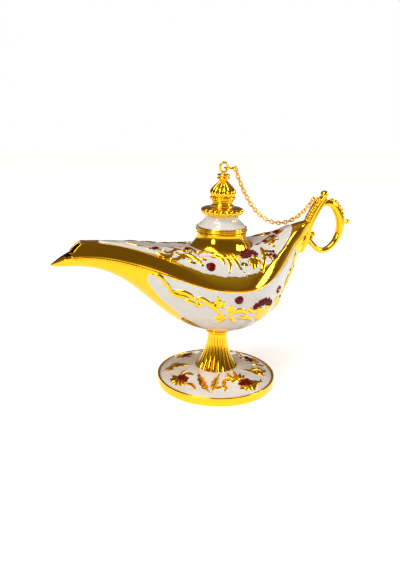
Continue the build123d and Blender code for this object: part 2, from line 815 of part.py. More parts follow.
def handle_pieces(outer):
    """Stem, finger ring, balls, leaves and the eye that the chain starts from."""
    stem, stem_path = bar(stem_bar_shares, handle_thickness, handle_width)
    end_low = height(body_shares[-1][3])
    end_high = height(body_shares[-1][6])
    low_end = (Align.CENTER, Align.CENTER, Align.MIN)
    dowels, dowel_holes = [], []
    for share in dowel_shares:
        z = end_low + share * (end_high - end_low)
        place = Plane(origin=(stern_reach - rivet_length / 2, 0, z), z_dir=(1, 0, 0))
        dowels.append(place * Cylinder(rivet_radius, rivet_length, align=low_end))
        dowel_holes.append(place * Cylinder(rivet_radius + rivet_clearance, rivet_length, align=low_end))
    eye_place = Pos(handle_eye_x + handle_eye_radius, 0, handle_eye_z)
    peg_start = handle_eye_x + 2 * handle_eye_radius
    peg_place = Plane(origin=(peg_start, 0, handle_eye_z), z_dir=(1, 0, 0))
    peg = peg_place * Cylinder(handle_eye_wire / 2, handle_eye_peg, align=low_end)
    eye = eye_place * Torus(handle_eye_radius, handle_eye_wire / 2) + peg
    stem = stem - outer - eye
    for hole in dowel_holes:
        stem = stem - hole
    ring, _ = bar(ring_shares, ring_thickness, ring_width)
    curl_bar, _ = bar(curl_shares, curl_thickness, curl_thickness)
    joint = ball(handle_point(*joint_ball_share), joint_ball_radius)
    curl_ball = ball(handle_point(*curl_shares[-1][:2]), curl_ball_radius)
    ring = (ring + curl_bar + curl_ball + joint - stem - outer).solids().sort_by(SortBy.VOLUME)[-1]
    top_rise = 1 - top_ball_sink_share * top_ball_radius / handle_height
    top = ball(handle_point(stem_bar_shares[-1][0], top_rise), top_ball_radius)
    thumb_at = handle_point(*thumb_share)
    thumb_end = thumb_at + Vector(thumb_reach - thumb_ball_radius, 0, 0)
    stalk_place = Plane(origin=thumb_at, z_dir=(1, 0, 0))
    stalk = stalk_place * Cylinder(thumb_stalk_radius, thumb_reach - thumb_ball_radius, align=low_end)
    thumb = stalk + ball(thumb_end, thumb_ball_radius) - ring
    leaves = None
    for along, up, size in leaf_shares:
        lobe = scale(Sphere(1), by=(leaf_relief * size, leaf_half_width, 2 * leaf_relief * size))
        lean = leaf_lean_share + up * (1 - leaf_lean_share)
        lobe = Pos(*handle_point(along, up)) * Rot(0, -90 * lean, 0) * lobe
        leaves = lobe if leaves is None else leaves + lobe
    leaves = leaves - ring - thumb
    beads = None
    for number in range(bead_count):
        first, last = bead_run_shares
        share = first + (last - first) * number / (bead_count - 1)
        way = stem_path % share
        spot = stem_path @ share + Vector(-way.Z, 0, way.X) * handle_thickness / 2
        bead = ball(spot, bead_radius)
        beads = bead if beads is None else beads + bead
    beads = beads - stem - outer - eye
    return {
        "handle_stem": stem,
        "handle_ring": ring,
        "handle_top_ball": top - stem - eye,
        "handle_thumb_ball": thumb,
        "handle_leaf": leaves,
        "handle_beading": beads,
        "handle_dowels": group(dowels),
        "handle_eye": eye,
    }, dowel_holes


# Assembly

def build():
    """Every node of the lamp by name."""
    outer, body = body_pieces()
    handle, dowel_holes = handle_pieces(outer)
    for hole in dowel_holes:
        body["deck_shell"] = body["deck_shell"] - hole
        body["hull_shell"] = body["hull_shell"] - hole
    nodes = foot_pieces()
    nodes.update(stem_pieces(outer))
    nodes.update(body)
    nodes.update(lid_pieces())
    nodes["swivel_eye"] = swivel_eye()
    nodes.update(handle)
    nodes.update(chain_pieces())
    return nodes


def save(name, shape):
    """Writes one node, as a single solid or as a group of separate solids."""
    solids = shape.solids()
    export_step(solids[0] if len(solids) == 1 else Compound(solids), f"parts/{name}.step")


for node_name, node_shape in build().items():
    save(node_name, node_shape)
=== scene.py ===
import math

import bmesh
import bpy
import numpy as np
from mathutils import Matrix, Vector


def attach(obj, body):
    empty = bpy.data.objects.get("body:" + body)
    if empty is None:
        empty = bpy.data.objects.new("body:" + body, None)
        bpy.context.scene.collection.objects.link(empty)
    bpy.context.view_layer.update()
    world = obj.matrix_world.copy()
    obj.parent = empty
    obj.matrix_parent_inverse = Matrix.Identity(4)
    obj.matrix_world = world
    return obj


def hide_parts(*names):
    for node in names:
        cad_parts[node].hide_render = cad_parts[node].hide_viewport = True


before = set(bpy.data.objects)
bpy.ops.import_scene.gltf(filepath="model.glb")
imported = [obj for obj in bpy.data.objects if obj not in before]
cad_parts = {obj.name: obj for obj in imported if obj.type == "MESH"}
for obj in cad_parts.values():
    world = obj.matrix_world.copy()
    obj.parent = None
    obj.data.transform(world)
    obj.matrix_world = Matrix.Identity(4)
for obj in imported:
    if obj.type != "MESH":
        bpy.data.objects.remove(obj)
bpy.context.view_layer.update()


# Studio. The lamp stands on a pale table in soft light, seen from its spout's side and a
# little above. Sizes in this file are millimetres of the real lamp, +Z up, spout to -X.

millimetre = 0.001


class Socket:
    """A node's output in a shader, so that shader maths is written as an expression."""

    def __init__(self, tree, link=None):
        self.tree, self.link = tree, link

    def node(self, kind, settings=(), sockets=(), output=0):
        """Adds a node: its settings first, then numbers, colours or links for its sockets."""
        made = self.tree.nodes.new("ShaderNode" + kind)
        for name, value in dict(settings).items():
            if name == "stops":
                while len(made.color_ramp.elements) < len(value):
                    made.color_ramp.elements.new(0.5)
                for element, (place, colour) in zip(made.color_ramp.elements, value):
                    element.position, element.color = place, colour
            else:
                setattr(made, name, value)
        for name, value in dict(sockets).items():
            if isinstance(value, Socket):
                self.tree.links.new(value.link, made.inputs[name])
            else:
                made.inputs[name].default_value = value
        return Socket(self.tree, made.outputs[output])

    def maths(self, operation, *terms):
        return self.node("Math", {"operation": operation}, dict(enumerate(terms)))

    def __add__(self, other):
        return self.maths("ADD", self, other)

    def __mul__(self, other):
        return self.maths("MULTIPLY", self, other)

    __radd__, __rmul__ = __add__, __mul__

    def mixed(self, first, second):
        """A colour between two, with this number as the share of the second."""
        share, one_colour, other_colour, result = 0, 6, 7, 2
        ends = {share: self, one_colour: first, other_colour: second}
        return self.node("Mix", {"data_type": "RGBA"}, ends, result)

    def feed(self, shader, name):
        self.tree.links.new(self.link, shader.inputs[name])


def finish(name, **plain):
    """A material with its shader's plain values set, the shader, and where its nodes start."""
    material = bpy.data.materials.new(name)
    material.use_nodes = True
    shader = material.node_tree.nodes["Principled BSDF"]
    for socket, value in plain.items():
        shader.inputs[socket.replace("_", " ")].default_value = value
    return material, shader, Socket(material.node_tree)


def shown_rays(start):
    """One for rays from the camera or a mirror, and nought for light that spreads."""
    seen, reflected = (start.node("LightPath", output=ray) for ray in ("Is Camera Ray", "Is Glossy Ray"))
    return start.maths("MAXIMUM", seen, reflected)


def pale_table():
    """White card: its own light lifts only what is seen, so the shadow stays."""
    white, black, lift = (1, 1, 1, 1), (0, 0, 0, 1), 0.5
    material, shader, start = finish("pale_table", Roughness=0.9, Emission_Strength=lift)
    grain = start.node("TexNoise", {}, {"Scale": 30.0})
    grain.mixed((0.93, 0.93, 0.93, 1), (0.96, 0.96, 0.96, 1)).feed(shader, "Base Color")
    shown_rays(start).mixed(black, white).feed(shader, "Emission Color")
    return material


def room():
    """White where the camera looks; a bright low room under a dim warm ceiling for the gold."""
    world = bpy.data.worlds.new("room")
    world.use_nodes = True
    bpy.context.scene.world = world
    start = Socket(world.node_tree)
    direction = start.node("TexCoord", output="Generated")
    up = start.node("SeparateXYZ", {}, {"Vector": direction}, "Z")
    table_white, table_edge, low_wall = (1, 1, 1, 1), (0.95, 0.95, 0.95, 1), (0.28, 0.22, 0.18, 1)
    mid_wall, high_wall, ceiling = (0.14, 0.10, 0.08, 1), (0.15, 0.11, 0.09, 1), (0.30, 0.26, 0.22, 1)
    stops = [(0.0, table_white), (0.495, table_edge), (0.515, low_wall),
             (0.58, mid_wall), (0.85, high_wall), (1.0, ceiling)]
    surroundings = start.node("ValToRGB", {"stops": stops}, {"Fac": up * 0.5 + 0.5})
    seen = start.node("LightPath", output="Is Camera Ray")
    seen.mixed(surroundings, (1, 1, 1, 1)).feed(world.node_tree.nodes["Background"], "Color")


def softbox(name, place, width, height, power):
    """A rectangular softbox that faces the middle of the lamp."""
    lamp_middle = Vector((0, 0, 70))
    light = bpy.data.lights.new(name, "AREA")
    light.shape, light.size, light.size_y = "RECTANGLE", width * millimetre, height * millimetre
    light.energy = power
    lamp = bpy.data.objects.new(name, light)
    lamp.location = Vector(place) * millimetre
    lamp.rotation_euler = (lamp_middle - Vector(place)).to_track_quat("-Z", "Y").to_euler()
    bpy.context.scene.collection.objects.link(lamp)


def window_light(came_from, strength, spread):
    """Soft light that reaches the whole table alike."""
    light = bpy.data.lights.new("window_light", "SUN")
    light.energy, light.angle = strength, math.radians(spread)
    lamp = bpy.data.objects.new("window_light", light)
    lamp.rotation_euler = (-Vector(came_from)).to_track_quat("-Z", "Y").to_euler()
    bpy.context.scene.collection.objects.link(lamp)


def camera():
    """The photograph's view, as a place, a turn, a tilt and a roll about the line of sight."""
    away, height = 261.28, 126.28
    turn, tilt, roll = math.radians(-20), math.radians(16.76), math.radians(2.283)
    focal_pixels, frame_height, frame_width, axis_pixel, sensor = 590.26, 570, 400, 219.25, 36
    place = np.array([away * math.sin(turn), -away * math.cos(turn), height])
    ahead = np.array([-math.sin(turn) * math.cos(tilt), math.cos(turn) * math.cos(tilt), -math.sin(tilt)])
    level = np.array([math.cos(turn), math.sin(turn), 0])
    upright = np.cross(level, ahead)
    right = level * math.cos(roll) + upright * math.sin(roll)
    top = upright * math.cos(roll) - level * math.sin(roll)
    data = bpy.data.cameras.new("view")
    data.sensor_width, data.lens = sensor, focal_pixels / frame_height * sensor
    data.shift_x = (frame_width / 2 - axis_pixel) / frame_height
    data.clip_start, data.clip_end = 0.01, 20
    eye = bpy.data.objects.new("view", data)
    turned_axes = Matrix([right, top, -ahead]).transposed().to_4x4()
    eye.matrix_world = Matrix.Translation(Vector(place) * millimetre) @ turned_axes
    bpy.context.scene.collection.objects.link(eye)
    bpy.context.scene.camera = eye


bpy.context.scene.view_settings.view_transform = "Standard"
bpy.ops.mesh.primitive_plane_add(size=3000 * millimetre, location=(0, 0, 0))
table = bpy.context.object
table.name = "table"
table.data.materials.append(pale_table())
room()
softbox("left_box", (-350, -250, 185), width=95, height=125, power=0.38)
softbox("right_box", (365, -195, 255), width=125, height=105, power=0.5)
softbox("side_box", (380, -60, 235), width=80, height=105, power=0.22)
softbox("top_box", (-60, 10, 430), width=45, height=65, power=0.1)
window_light((-0.6, -0.35, 1.0), strength=1.55, spread=34)
camera()


# Foot: a cast zinc dish with a plain rim, gilt, and a dome under ivory enamel. It is turned
# true on its rim and drawn up against the stem by one long screw from below.

foot_radius, foot_rim_height, foot_dome_radius, foot_land = 28.0, 3.7, 26.9, 7.6
foot_inner, foot_dome_top, foot_wall, under_enamel = 10.1, 8.1, 1.7, 0.35
screw_hole, head_pocket, pocket_floor, pocket_low = 1.51, 5.2, 5.6, 2.8
foot_hollow, hollow_chamfer = 24.8, 2.2


def through(places, values, x):
    """A natural cubic spline through values at places, read at x."""
    places, values, x = np.asarray(places, float), np.asarray(values, float), np.asarray(x, float)
    count, gap = len(places), np.diff(places)
    system, right = np.eye(count), np.zeros((count,) + values.shape[1:])
    for row in range(1, count - 1):
        before, after = gap[row - 1], gap[row]
        system[row, row - 1:row + 2] = before, 2 * (before + after), after
        right[row] = 6 * ((values[row + 1] - values[row]) / after - (values[row] - values[row - 1]) / before)
    bend = np.linalg.solve(system, right)
    left = np.clip(np.searchsorted(places, x) - 1, 0, count - 2)
    past, span = x - places[left], gap[left]
    if values.ndim > 1:
        past, span = past[..., None], span[..., None]
    slope = (values[left + 1] - values[left]) / span - span * (2 * bend[left] + bend[left + 1]) / 6
    steepening = (bend[left + 1] - bend[left]) / (6 * span)
    return ((steepening * past + bend[left] / 2) * past + slope) * past + values[left]


def eased(corners, arc_steps=7):
    """A closed outline through corners (radius, z, ease), each rounded by its ease."""
    outline = []
    for before, corner, after in zip(corners[-1:] + corners[:-1], corners, corners[1:] + corners[:1]):
        here, back, on = (np.array(point[:2], float) for point in (corner, before, after))
        back, on = back - here, on - here
        cut = min(corner[2], 0.48 * np.linalg.norm(back), 0.48 * np.linalg.norm(on)) if corner[2] else 0
        if not cut:
            outline.append(here)
            continue
        first, last = here + back / np.linalg.norm(back) * cut, here + on / np.linalg.norm(on) * cut
        for share in np.linspace(0, 1, arc_steps):
            outline.append((1 - share) ** 2 * first + 2 * share * (1 - share) * here + share * share * last)
    return np.array(outline)


def skin(rings, loop=False):
    """A closed skin through rings of points: a loop joins up, and open ends get flat caps."""
    rings = np.asarray(rings, float)
    count, around = rings.shape[:2]
    row, column = np.meshgrid(np.arange(count if loop else count - 1), np.arange(around), indexing="ij")
    after, beside = (row + 1) % count, (column + 1) % around
    faces = np.stack([row * around + column, row * around + beside,
                      after * around + beside, after * around + column], -1).reshape(-1, 4).tolist()
    if not loop:
        faces += [list(range(around)), list(range((count - 1) * around, count * around))]
    return rings.reshape(-1, 3), faces


def turned(outline, steps=160, shape=None):
    """A closed (radius, z) outline turned about Z, its radius reshaped by angle if asked."""
    angle = np.linspace(0, 2 * math.pi, steps, endpoint=False)[:, None]
    radius, z = outline[:, 0][None, :], outline[:, 1][None, :]
    radius = radius + 0 * angle if shape is None else shape(angle, radius, z)
    return skin(np.stack([radius * np.cos(angle), radius * np.sin(angle), z + 0 * angle], -1), loop=True)


def piece(name, parts, finish_of, body="lamp", stands_for=(), crease=38):
    """One object from closed skins, riding on a body, in place of the CAD nodes it stands for."""
    build, offset, points, faces = bmesh.new(), 0, [], []
    for skin_points, skin_faces in parts:
        points.append(skin_points)
        faces += [[corner + offset for corner in face] for face in skin_faces]
        offset += len(skin_points)
    mesh = bpy.data.meshes.new(name)
    mesh.from_pydata((np.concatenate(points) * millimetre).tolist(), [], faces)
    build.from_mesh(mesh)
    bmesh.ops.remove_doubles(build, verts=build.verts, dist=2e-7)
    bmesh.ops.recalc_face_normals(build, faces=build.faces)
    if build.calc_volume(signed=True) < 0:
        bmesh.ops.reverse_faces(build, faces=build.faces)
    build.to_mesh(mesh)
    build.free()
    mesh.shade_smooth()
    mesh.set_sharp_from_angle(angle=math.radians(crease))
    mesh.materials.append(finish_of)
    made = bpy.data.objects.new(name, mesh)
    bpy.context.scene.collection.objects.link(made)
    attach(made, body)
    if stands_for:
        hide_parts(*stands_for)
    return made


def polished_gold():
    """Bright gold plate: a saturated yellow with faint clouding, fine polish and a hard gloss."""
    material, shader, start = finish("polished_gold", Metallic=1.0, Coat_Weight=0.5, Coat_Roughness=0.03)
    place = start.node("TexCoord", output="Object")
    cloud = start.node("TexNoise", {}, {"Vector": place, "Scale": 90.0, "Detail": 4.0})
    fine = start.node("TexNoise", {}, {"Vector": place, "Scale": 900.0, "Detail": 2.0})
    cloud.mixed((0.94, 0.52, 0.002, 1), (0.98, 0.60, 0.005, 1)).feed(shader, "Base Color")
    (cloud * 0.07 + fine * 0.05 + 0.03).feed(shader, "Roughness")
    height = cloud * 0.8 + fine * 0.12
    start.node("Bump", {}, {"Strength": 0.25, "Distance": 0.00012, "Height": height}).feed(shader, "Normal")
    return material


gold = polished_gold()


def foot_height(radius):
    """Height of the foot's enamelled dome at a distance from the axis."""
    reach = foot_dome_radius - foot_inner
    places = [foot_inner, foot_dome_radius - 0.68 * reach, foot_dome_radius - 0.33 * reach, foot_dome_radius]
    rise = foot_dome_top - foot_rim_height
    heights = [foot_rim_height + share * rise for share in (1, 0.72, 0.36, 0)]
    return through(places, heights, np.clip(radius, foot_inner, foot_dome_radius))


def foot_plate():
    """The dish: rim, dome under its enamel, screw hole, pocket for the screw's head and hollow."""
    dome = np.linspace(foot_dome_radius, foot_inner, 24)
    top = [(radius, foot_height(radius) - under_enamel, 0) for radius in dome]
    under = [(radius, foot_height(radius) - under_enamel - foot_wall, 0) for radius in dome[::-1][:-5]]
    rim = [(foot_radius, 0, 0.5), (foot_radius, foot_rim_height + 0.25, 0.9),
           (foot_dome_radius + 0.25, foot_rim_height + 0.35, 0.35),
           (foot_dome_radius + 0.05, foot_rim_height - 0.6, 0)]
    middle = [(screw_hole, foot_land - 0.1, 0), (screw_hole, pocket_low, 0),
              (head_pocket, pocket_low, 0.3), (head_pocket, pocket_floor, 0.5)]
    hollow = [(foot_hollow, hollow_chamfer, 0.3), (foot_hollow, 0, 0.3)]
    return turned(eased(rim + top[1:] + middle + under + hollow), 240)


piece("foot_plate_gilt", [foot_plate()], gold, stands_for=["foot_plate"])


# Fasteners: the long tie screw and its washer, the lid's stud and nut and the handle's two
# dowels, turned from steel and thinly plated. They hold the castings and are out of sight.


def zinc_steel():
    """Plated fasteners, turned and a little dull, out of sight inside the lamp."""
    material, shader, start = finish("zinc_steel", Metallic=1.0)
    place = start.node("TexCoord", output="Object")
    fine_rings = {"Vector": place, "Scale": 900.0, "Distortion": 1.0}
    lathe = start.node("TexWave", {"bands_direction": "Z"}, fine_rings)
    lathe.mixed((0.50, 0.50, 0.52, 1), (0.66, 0.66, 0.68, 1)).feed(shader, "Base Color")
    (lathe * 0.12 + 0.22).feed(shader, "Roughness")
    return material


def dress(nodes, finish_of):
    """Gives CAD nodes a material and leaves their form as it is."""
    for node in nodes:
        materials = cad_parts[node].data.materials
        materials.clear()
        materials.append(finish_of)


dress(["tie_screw", "tie_washer", "lid_stud", "lid_nut", "handle_dowels"], zinc_steel())


# Foot ornament: sprays, leaves and flowers raised in the casting and gilt, with the flower
# heads filled in garnet enamel, all rising out of the ivory ground.


def on_foot(x, y):
    """Points on the foot's dome over a place on the table."""
    return np.stack([x, y, foot_height(np.hypot(x, y))], -1)


def laid(chart, path, step=0.02):
    """A path on a surface: its points, the directions to its left and the surface's normals."""
    place = chart(path[:, 0], path[:, 1])
    east, north = (chart(path[:, 0] + dx, path[:, 1] + dy) - place for dx, dy in ((step, 0), (0, step)))
    normal = np.cross(east, north)
    normal /= np.linalg.norm(normal, axis=1)[:, None]
    along = np.gradient(place, axis=0)
    along /= np.linalg.norm(along, axis=1)[:, None] + 1e-9
    side = np.cross(normal, along)
    side /= np.linalg.norm(side, axis=1)[:, None] + 1e-9
    return place, side, normal


def curve(points, steps):
    """A smooth path through a few points, evenly walked."""
    points = np.array(points, float)
    if len(points) == 2:
        points = np.array([points[0], points.mean(0), points[1]])
    walked = np.concatenate([[0], np.cumsum(np.hypot(*np.diff(points, axis=0).T))])
    return through(walked, points, np.linspace(0, walked[-1], steps))


def curled(points, turn, radius=0.9):
    """Points with a scroll added after the last: turn is in full turns, signed to the left."""
    if not turn:
        return points
    points = np.array(points, float)
    heading = math.atan2(*(points[-1] - points[-2])[::-1])
    way, sweep = math.copysign(1, turn), []
    middle = points[-1] + radius * np.array([-math.sin(heading), math.cos(heading)]) * way
    for share in np.linspace(0.12, 1, 8):
        angle = heading - way * math.pi / 2 + turn * 2 * math.pi * share
        sweep.append(middle + radius * (1 - 0.72 * share) * np.array([math.cos(angle), math.sin(angle)]))
    return np.concatenate([points, sweep])


# Places under the raised metal that is being laid, which the enamel is then drawn up round.
embossed = []


def scroll(chart, points, width, rise=0.75, lobes=0, steps=40):
    """A raised gilt stem or leaf: a ridge that tapers at both ends, lobed along a leaf."""
    place, side, normal = laid(chart, curve(points, steps))
    embossed.append(place[::2])
    walked, across = np.linspace(0, 1, steps), np.linspace(0, math.pi, 11)
    reach = np.cos(across)
    if lobes:
        half_width = width * 1.35 / 2
        swell = np.sin(math.pi * np.clip(walked, 0.03, 0.97) ** 0.8) ** 0.7
        swell *= 0.82 + 0.26 * np.abs(np.sin(lobes * math.pi * walked))
        lift = 0.55 * np.sin(across) ** 0.6 + 0.45 * (1 - np.abs(reach)) ** 1.5
    else:
        half_width = width * 1.6 / 2
        swell = np.sin(math.pi * np.clip(walked, 0.02, 0.985)) ** 0.55
        lift = np.sin(across) ** 0.8
    half, high = (half_width * swell)[:, None, None], (rise * (0.35 + 0.65 * swell))[:, None, None]
    outward = side[:, None] * half * reach[None, :, None]
    upward = normal[:, None] * high * lift[None, :, None]
    root = [place + way * side * half[:, 0] * 0.9 - 0.45 * normal for way in (-1, 1)]
    return skin(np.concatenate([place[:, None] + outward + upward, np.stack(root, 1)], 1))


def boss(chart, spot, size, rise, petals=0, ruffle=0.0, stretch=1.0, turn=0.0):
    """A raised dome on a surface: a berry, or a flower head with ruffled petals."""
    spot, radius = np.array(spot, float), size * 1.3
    place, _, normal = laid(chart, np.stack([spot, spot + 0.01]))
    centre, up = place[0], normal[0]
    east = np.cross([0, 1, 0], up)
    east /= np.linalg.norm(east)
    north = np.cross(up, east)
    embossed.append(centre[None, :])
    angle = np.linspace(0, 2 * math.pi, 48, endpoint=False)
    wave = 0.09 * np.cos(petals * angle) if petals else 0.05 * np.sin(3 * angle)
    turned_by = np.array([[math.cos(turn), math.sin(turn)], [-math.sin(turn), math.cos(turn)]])
    layers = []
    for share in np.linspace(0.02, 1, 9):
        out = radius * share * (1 + wave * share)
        flat = np.stack([out * np.cos(angle) * stretch, out * np.sin(angle)], -1) @ turned_by
        high = rise * (1 - share ** 3.2 + ruffle * share * np.cos(petals * angle) * (1 - share ** 4))
        layers.append(centre + flat[:, :1] * east + flat[:, 1:] * north + high[:, None] * up)
    layers.append(layers[-1] - 0.5 * up)
    return skin(layers)


def polar(points):
    """Places (distance from the axis, turn in degrees) as places on the table."""
    return [(distance * math.cos(math.radians(turn)), distance * math.sin(math.radians(turn)))
            for distance, turn in points]


def spray(chart, root, tips, width, rise=0.7, bow=0.18):
    """Fingers that fan out from a root, each bowed a little to one side."""
    fingers, root = [], np.array(root, float)
    for number, tip in enumerate(tips):
        tip = np.array(tip, float)
        reach = tip - root
        middle = root + 0.5 * reach + bow * (-1) ** number * np.array([-reach[1], reach[0]])
        fingers.append(scroll(chart, [root, middle, tip], width, rise, steps=18))
    return fingers


def feather(chart, points, width, rise, barbs):
    """A leaf with notched sides and a raised rib."""
    return [scroll(chart, points, width, rise * 0.8, lobes=barbs), scroll(chart, points, 0.5, rise * 1.5)]


# Places on the foot are (distance from the axis, turn in degrees) from here on.
foot_plumes = [
    (2.5, [(24.6, -115), (19.0, -127), (14.5, -141), (11.4, -158)], 6),
    (2.4, [(24.2, -113), (18.6, -111), (14.5, -107), (11.0, -98)], 5),
]
# Each row: distance, turn, lean of the leaves and size of the flower's head.
foot_blossoms = [(20.3, -160, -8, 2.3), (20.8, -66, 0, 2.7), (19.6, 119, 6, 2.0), (19.6, 14, 4, 2.0)]
foot_stems = [
    (1.3, [(22.5, -94), (19.1, -98), (16.3, -94), (15.8, -86)], 0.8),
    (1.1, [(23.3, -111), (20.6, -106), (21.2, -99)], -0.9),
    (1.1, [(24.0, -131), (21.6, -137), (21.5, -145)], 0.8),
    (1.2, [(22.6, 149), (18.0, 160), (12.1, 172)], 0.0),
    (1.2, [(23.6, 172), (21.2, 166), (18.0, 158)], 0.7),
    (1.2, [(13.1, -43), (17.0, -34), (21.2, -29), (23.6, -22)], 0.0),
    (1.2, [(15.8, -27), (19.2, -22), (22.5, -33)], 0.7),
    (1.1, [(22.5, -42), (23.7, -50), (22.0, -54)], 0.8),
    (1.2, [(16.9, -8), (20.6, -4), (24.0, -6)], 0.7),
    (1.2, [(12.4, 60), (16.5, 66), (21.5, 60), (24.2, 52)], 0.7),
    (1.2, [(13.0, 88), (17.5, 84), (22.0, 90)], -0.8),
    (1.1, [(16.0, 40), (20.0, 34), (23.5, 38)], 0.6),
]
foot_leaves = [
    ([(12.4, 172), (16.0, 162), (20.5, 156)], 4),
    ([(14.0, -40), (18.5, -28), (23.0, -20)], 5),
    ([(12.5, 64), (17.0, 72), (22.5, 74)], 5),
    ([(12.5, 100), (15.5, 96), (19.0, 98)], 3),
]
foot_sprays = [
    ((17.6, -78), [(11.2, -84), (11.0, -64), (14.0, -70), (14.2, -57), (16.4, -89), (13.2, -92)]),
    ((22.6, 160), [(18.2, 150), (16.4, 158), (16.6, 168), (20.4, 172), (24.6, 168)]),
    ((22.8, -26), [(18.0, -38), (16.4, -30), (16.8, -20), (20.0, -14), (24.6, -16)]),
    ((22.6, 76), [(18.0, 64), (16.4, 72), (16.8, 82), (20.0, 88), (24.4, 86)]),
]


def foot_blossom(distance, turn, lean, size):
    """A red flower head, and its gilt cup towards the rim and three leaves towards the stem."""
    cup = [(4.0, -10), (4.9, -5), (5.2, 0), (4.9, 5), (4.0, 10), (2.2, 15), (2.0, -15)]
    leaves = [(-4.6, -12), (-5.6, 0), (-4.6, 12)]
    middle, cup_root = polar([(distance, turn), (distance + 0.6, turn)])
    leaf_root = polar([(distance - 1.4, turn + lean)])[0]
    cup_tips, leaf_tips = (polar([(distance + reach, turn + swing) for reach, swing in tips])
                           for tips in (cup, leaves))
    crosswise = math.radians(turn + 90)
    head = boss(on_foot, middle, size, 0.95, petals=7, ruffle=0.35, stretch=1.25, turn=crosswise)
    gilt = spray(on_foot, cup_root, cup_tips, 1.6, 0.9, 0.05) + spray(on_foot, leaf_root, leaf_tips, 1.1)
    return head, gilt


def foot_ornament():
    """Gilt and red parts of the whole ring."""
    gilt, reds = [], []
    for width, points, barbs in foot_plumes:
        gilt += feather(on_foot, polar(points), width, 0.8, barbs)
    for blossom in foot_blossoms:
        head, leaves = foot_blossom(*blossom)
        reds.append(head)
        gilt += leaves
    gilt += [scroll(on_foot, curled(polar(points), turn), width) for width, points, turn in foot_stems]
    for points, barbs in foot_leaves:
        gilt += feather(on_foot, polar(points), 2.0, 0.7, barbs)
    for root, tips in foot_sprays:
        gilt += spray(on_foot, polar([root])[0], polar(tips), 1.3, 0.8, 0.08)
    return gilt, reds


def garnet_enamel():
    """Deep red enamel laid over pitted metal, glossy on top."""
    material, shader, start = finish("garnet_enamel", Coat_Weight=0.08, Coat_Roughness=0.05,
                                     Specular_IOR_Level=0.15)
    place = start.node("TexCoord", output="Object")
    pits = start.node("TexVoronoi", {}, {"Vector": place, "Scale": 1300.0})
    deep = start.node("TexNoise", {}, {"Vector": place, "Scale": 700.0, "Detail": 3.0})
    deep.mixed((0.05, 0.0, 0.0, 1), (0.24, 0.0, 0.001, 1)).feed(shader, "Base Color")
    (pits * 0.2 + 0.12).feed(shader, "Roughness")
    start.node("Bump", {}, {"Strength": 0.6, "Distance": 0.0002, "Height": pits}).feed(shader, "Normal")
    return material


garnet = garnet_enamel()
foot_gilt, foot_reds = foot_ornament()
piece("foot_scrolls", foot_gilt, gold)
piece("foot_flowers", foot_reds, garnet, stands_for=["foot_blossoms"])


def swollen(points, tall=0.3, spread=1.25):
    """How far the enamel is drawn up round the raised metal at each of these points."""
    flat, raised, batch = points.reshape(-1, 3), np.concatenate(embossed), 2000
    nearest = [((flat[start:start + batch, None] - raised[None]) ** 2).sum(-1).min(1)
               for start in range(0, len(flat), batch)]
    return (tall * np.exp(-np.concatenate(nearest) / spread ** 2)).reshape(points.shape[:-1])


def quarter_round(distance, reach, power=2.0):
    """Rises from nought at an edge to one at a reach from it, round like a quarter circle."""
    return (1 - (1 - np.clip(distance / reach, 0, 1)) ** power) ** (1 / power)


def foot_enamel():
    """A ring of enamel: pillowed edges, drawn up round the ornament."""
    inner, outer = foot_inner - 0.3, foot_dome_radius - 0.1
    steps = inner + (outer - inner) * (np.sin(np.linspace(-math.pi / 2, math.pi / 2, 60)) / 2 + 0.5)
    radius, angle = np.meshgrid(steps, np.linspace(0, 2 * math.pi, 420, endpoint=False))
    ground = on_foot(radius * np.cos(angle), radius * np.sin(angle))
    pillow = 0.45 * quarter_round(np.minimum(radius - steps[0], steps[-1] - radius), 0.9) - 0.32
    upward = np.array([0, 0, 1])
    top = ground + (pillow + swollen(ground))[..., None] * upward
    return skin(np.concatenate([top, (ground - 0.6 * upward)[:, ::-1]], 1), loop=True)


def ivory_enamel():
    """Thick glossy enamel, warm white with faint mottling and a softly uneven skin."""
    material, shader, start = finish("ivory_enamel", Coat_Weight=0.6, Coat_Roughness=0.05)
    place = start.node("TexCoord", output="Object")
    mottle = start.node("TexNoise", {}, {"Vector": place, "Scale": 140.0, "Detail": 5.0})
    wave = start.node("TexNoise", {}, {"Vector": place, "Scale": 420.0, "Detail": 2.0})
    mottle.mixed((0.75, 0.725, 0.66, 1), (0.88, 0.865, 0.82, 1)).feed(shader, "Base Color")
    (mottle * 0.12 + 0.10).feed(shader, "Roughness")
    height = wave * 0.5 + mottle * 0.5
    start.node("Bump", {}, {"Strength": 0.35, "Distance": 0.0002, "Height": height}).feed(shader, "Normal")
    return material


ivory = ivory_enamel()
piece("foot_ground", [foot_enamel()], ivory, stands_for=["foot_enamel"])


# Stem: a cast trumpet column with twenty rounded reeds that run up into a plain collar,
# gilt all over and clamped between foot and hull by the long screw.

stem_low, stem_top, stem_radius, bell_radius = 7.5, 24.7, 4.4, 9.6
reeds, reed_depth, reed_fade = 20, 1.35, 2.0


def profile(shares, steps, start=0.0):
    """A smooth curve from a few (height, reach) shares: the heights and the reaches along it."""
    heights, reaches = zip(*shares)
    up = np.linspace(start, 1, steps)
    return up, through(heights, reaches, up)


def stem_column():
    """The trumpet, with its reeds cut in and faded out under the collar."""
    up, out = profile([(0, 1), (0.11, 0.79), (0.29, 0.52), (0.52, 0.25), (0.76, 0.06), (1, 0)], 60)
    side = np.stack([stem_radius + out * (bell_radius - stem_radius),
                     stem_low + up * (stem_top - stem_low)], -1)
    outline = np.array([(screw_hole, stem_low), (side[0, 0] - 0.4, stem_low), *side, (screw_hole, stem_top)])

    def reeded(angle, radius, z):
        depth = np.where(radius > 2 * screw_hole, reed_depth * radius / bell_radius, 0)
        fade = np.clip((stem_top - 0.8 - z) / reed_fade, 0, 1)
        ridge = np.abs(np.sin(reeds * angle / 2)) ** 0.55
        return radius - depth * fade * (1 - ridge)

    return turned(outline, 480, reeded)


